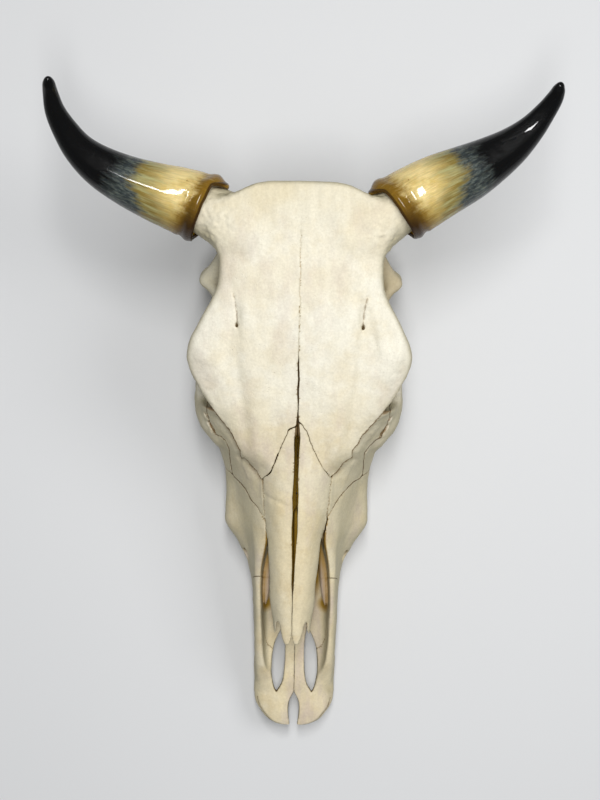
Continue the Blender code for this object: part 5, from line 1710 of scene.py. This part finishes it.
def build_bones(*kinds):
    """Make the bones named, on both sides where there are two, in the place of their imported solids."""
    sizes = settings().skull_sizes
    step = sizes.step
    for kind in kinds:
        for side, ending in (("r", ""),) if kind in MEDIAN else (("r", "_r"), ("l", "_l")):
            place(make_bone(kind, side, step, sizes.gap), shared_finish("dry_bone"), "bone", kind + ending)


class CraniumOperator(bpy.types.Operator):
    """Make the bones of the cranium"""

    bl_idname = "skull.cranium"
    bl_label = "Cranium"

    def execute(self, context):
        build_bones("frontal", "temporal", "occipital", "parietal", "sphenoid")
        return {"FINISHED"}


class FaceOperator(bpy.types.Operator):
    """Make the bones of the face"""

    bl_idname = "skull.face"
    bl_label = "Face"

    def execute(self, context):
        build_bones("nasal", "lacrimal", "zygomatic", "palatine", "premaxilla", "maxilla")
        place(make_vomer(), shared_finish("dry_bone"), "bone", "vomer")
        return {"FINISHED"}


class TeethOperator(bpy.types.Operator):
    """Make the cheek teeth"""

    bl_idname = "skull.teeth"
    bl_label = "Cheek teeth"

    def execute(self, context):
        for side in SIGN:
            teeth = make_tooth_row(side, settings().skull_sizes.tooth_rows)
            place(teeth, shared_finish("tooth_enamel"), "bone", "maxilla_" + side)
        return {"FINISHED"}


class HornsOperator(bpy.types.Operator):
    """Make the horn sheaths"""

    bl_idname = "skull.horns"
    bl_label = "Horns"

    def execute(self, context):
        for side in SIGN:
            sheath = make_sheath(side, settings().skull_sizes.horn_rings)
            place(sheath, horn_finish(side, settings().horn_look), "horn", "horn_sheath_" + side)
        return {"FINISHED"}


def area_light(name, place_at, aim, size, power, turn=0.0):
    """Soft rectangular light turned to a point."""
    data = bpy.data.lights.new(name, "AREA")
    data.shape = "RECTANGLE"
    data.size, data.size_y = size
    data.energy = power
    obj = bpy.data.objects.new(name, data)
    obj.location = place_at
    facing = (Vector(aim) - Vector(place_at)).to_track_quat("-Z", "Y")
    obj.rotation_euler = (facing @ Quaternion((0, 0, 1), math.radians(turn))).to_euler()
    bpy.context.scene.collection.objects.link(obj)
    return obj


def add_floor(look):
    """Floor a little under the skull."""
    mesh = bpy.data.meshes.new("floor")
    corners = [(FLOOR_HALF * a, FLOOR_HALF * b, FLOOR_Z) for a, b in ((-1, -1), (1, -1), (1, 1), (-1, 1))]
    mesh.from_pydata(corners, [], [(0, 1, 2, 3)])
    floor = bpy.data.objects.new("floor", mesh)
    floor.data.materials.append(floor_finish(look))
    bpy.context.scene.collection.objects.link(floor)


def add_lights(look):
    """Side light and window, which the horns don't mirror, a lamp for each horn to mirror, and even light."""
    side_light = area_light("side_light", (1.0, 0.25, 1.35), (0, 0.0, 0.1), (0.8, 0.8), look.side_light)
    window = area_light("window_light", (0.0, 0.22, 1.85), (0, 0.05, 0.1), (0.25, 1.5), look.window)
    side_light.visible_glossy = window.visible_glossy = False
    for side, place_at, length, turn in GLEAMS:
        size = (GLEAM_WIDTH, length)
        gleam = area_light("gleam_light_" + side, place_at, GLEAM_AIM, size, look.gleam * length, turn)
        gleam.visible_diffuse = False
        shown = bpy.data.collections.new("gleam_" + side)
        shown.objects.link(bpy.data.objects["horn_" + side])
        gleam.light_linking.receiver_collection = shown
    world = bpy.data.worlds.new("world")
    world.use_nodes = True
    back = world.node_tree.nodes["Background"]
    back.inputs["Color"].default_value = SKY
    back.inputs["Strength"].default_value = look.world
    bpy.context.scene.world = world


def add_camera():
    """Camera straight over the skull."""
    camera = bpy.data.cameras.new("camera")
    camera.sensor_fit = "VERTICAL"
    camera.sensor_height = 36.0
    camera.lens = LENS
    obj = bpy.data.objects.new("camera", camera)
    obj.location = (CAMERA_X * MM + OFFSET[0], CAMERA_S * MM + OFFSET[1], CAMERA_Z * MM)
    obj.rotation_euler = (0, 0, math.radians(CAMERA_TURN))
    bpy.context.scene.collection.objects.link(obj)
    bpy.context.scene.camera = obj


class StageOperator(bpy.types.Operator):
    """Make the floor, the lights and the camera"""

    bl_idname = "skull.stage"
    bl_label = "Stage"

    def execute(self, context):
        add_floor(settings().stage_look)
        add_lights(settings().stage_look)
        add_camera()
        bpy.context.scene.view_settings.view_transform = "Standard"
        return {"FINISHED"}


class SkullPanel(bpy.types.Panel):
    """Panel with the skull's pieces"""

    bl_idname = "VIEW3D_PT_skull"
    bl_label = "Cow skull"
    bl_space_type = "VIEW_3D"
    bl_region_type = "UI"
    bl_category = "Skull"

    def draw(self, context):
        for group in GROUPS:
            box = self.layout.box()
            values = getattr(context.scene, group)
            for key in values.__annotations__:
                box.prop(values, key)
        for kind in OPERATORS:
            self.layout.operator(kind.bl_idname)


GROUPS = {"skull_sizes": SkullSizes, "bone_look": BoneLook, "horn_look": HornLook, "stage_look": StageLook}
OPERATORS = (CraniumOperator, FaceOperator, TeethOperator, HornsOperator, StageOperator)


def register():
    """Register the classes and hang their values on the scene."""
    for kind in (*GROUPS.values(), *OPERATORS, SkullPanel):
        bpy.utils.register_class(kind)
    for name, kind in GROUPS.items():
        setattr(bpy.types.Scene, name, PointerProperty(type=kind))


def unregister():
    """Take the classes away again."""
    for name in GROUPS:
        delattr(bpy.types.Scene, name)
    for kind in reversed((*GROUPS.values(), *OPERATORS, SkullPanel)):
        bpy.utils.unregister_class(kind)


def main():
    """Make the whole scene."""
    register()
    bpy.ops.skull.cranium()
    bpy.ops.skull.face()
    bpy.ops.skull.teeth()
    bpy.ops.skull.horns()
    bpy.ops.skull.stage()


if __name__ == "__main__":
    main()
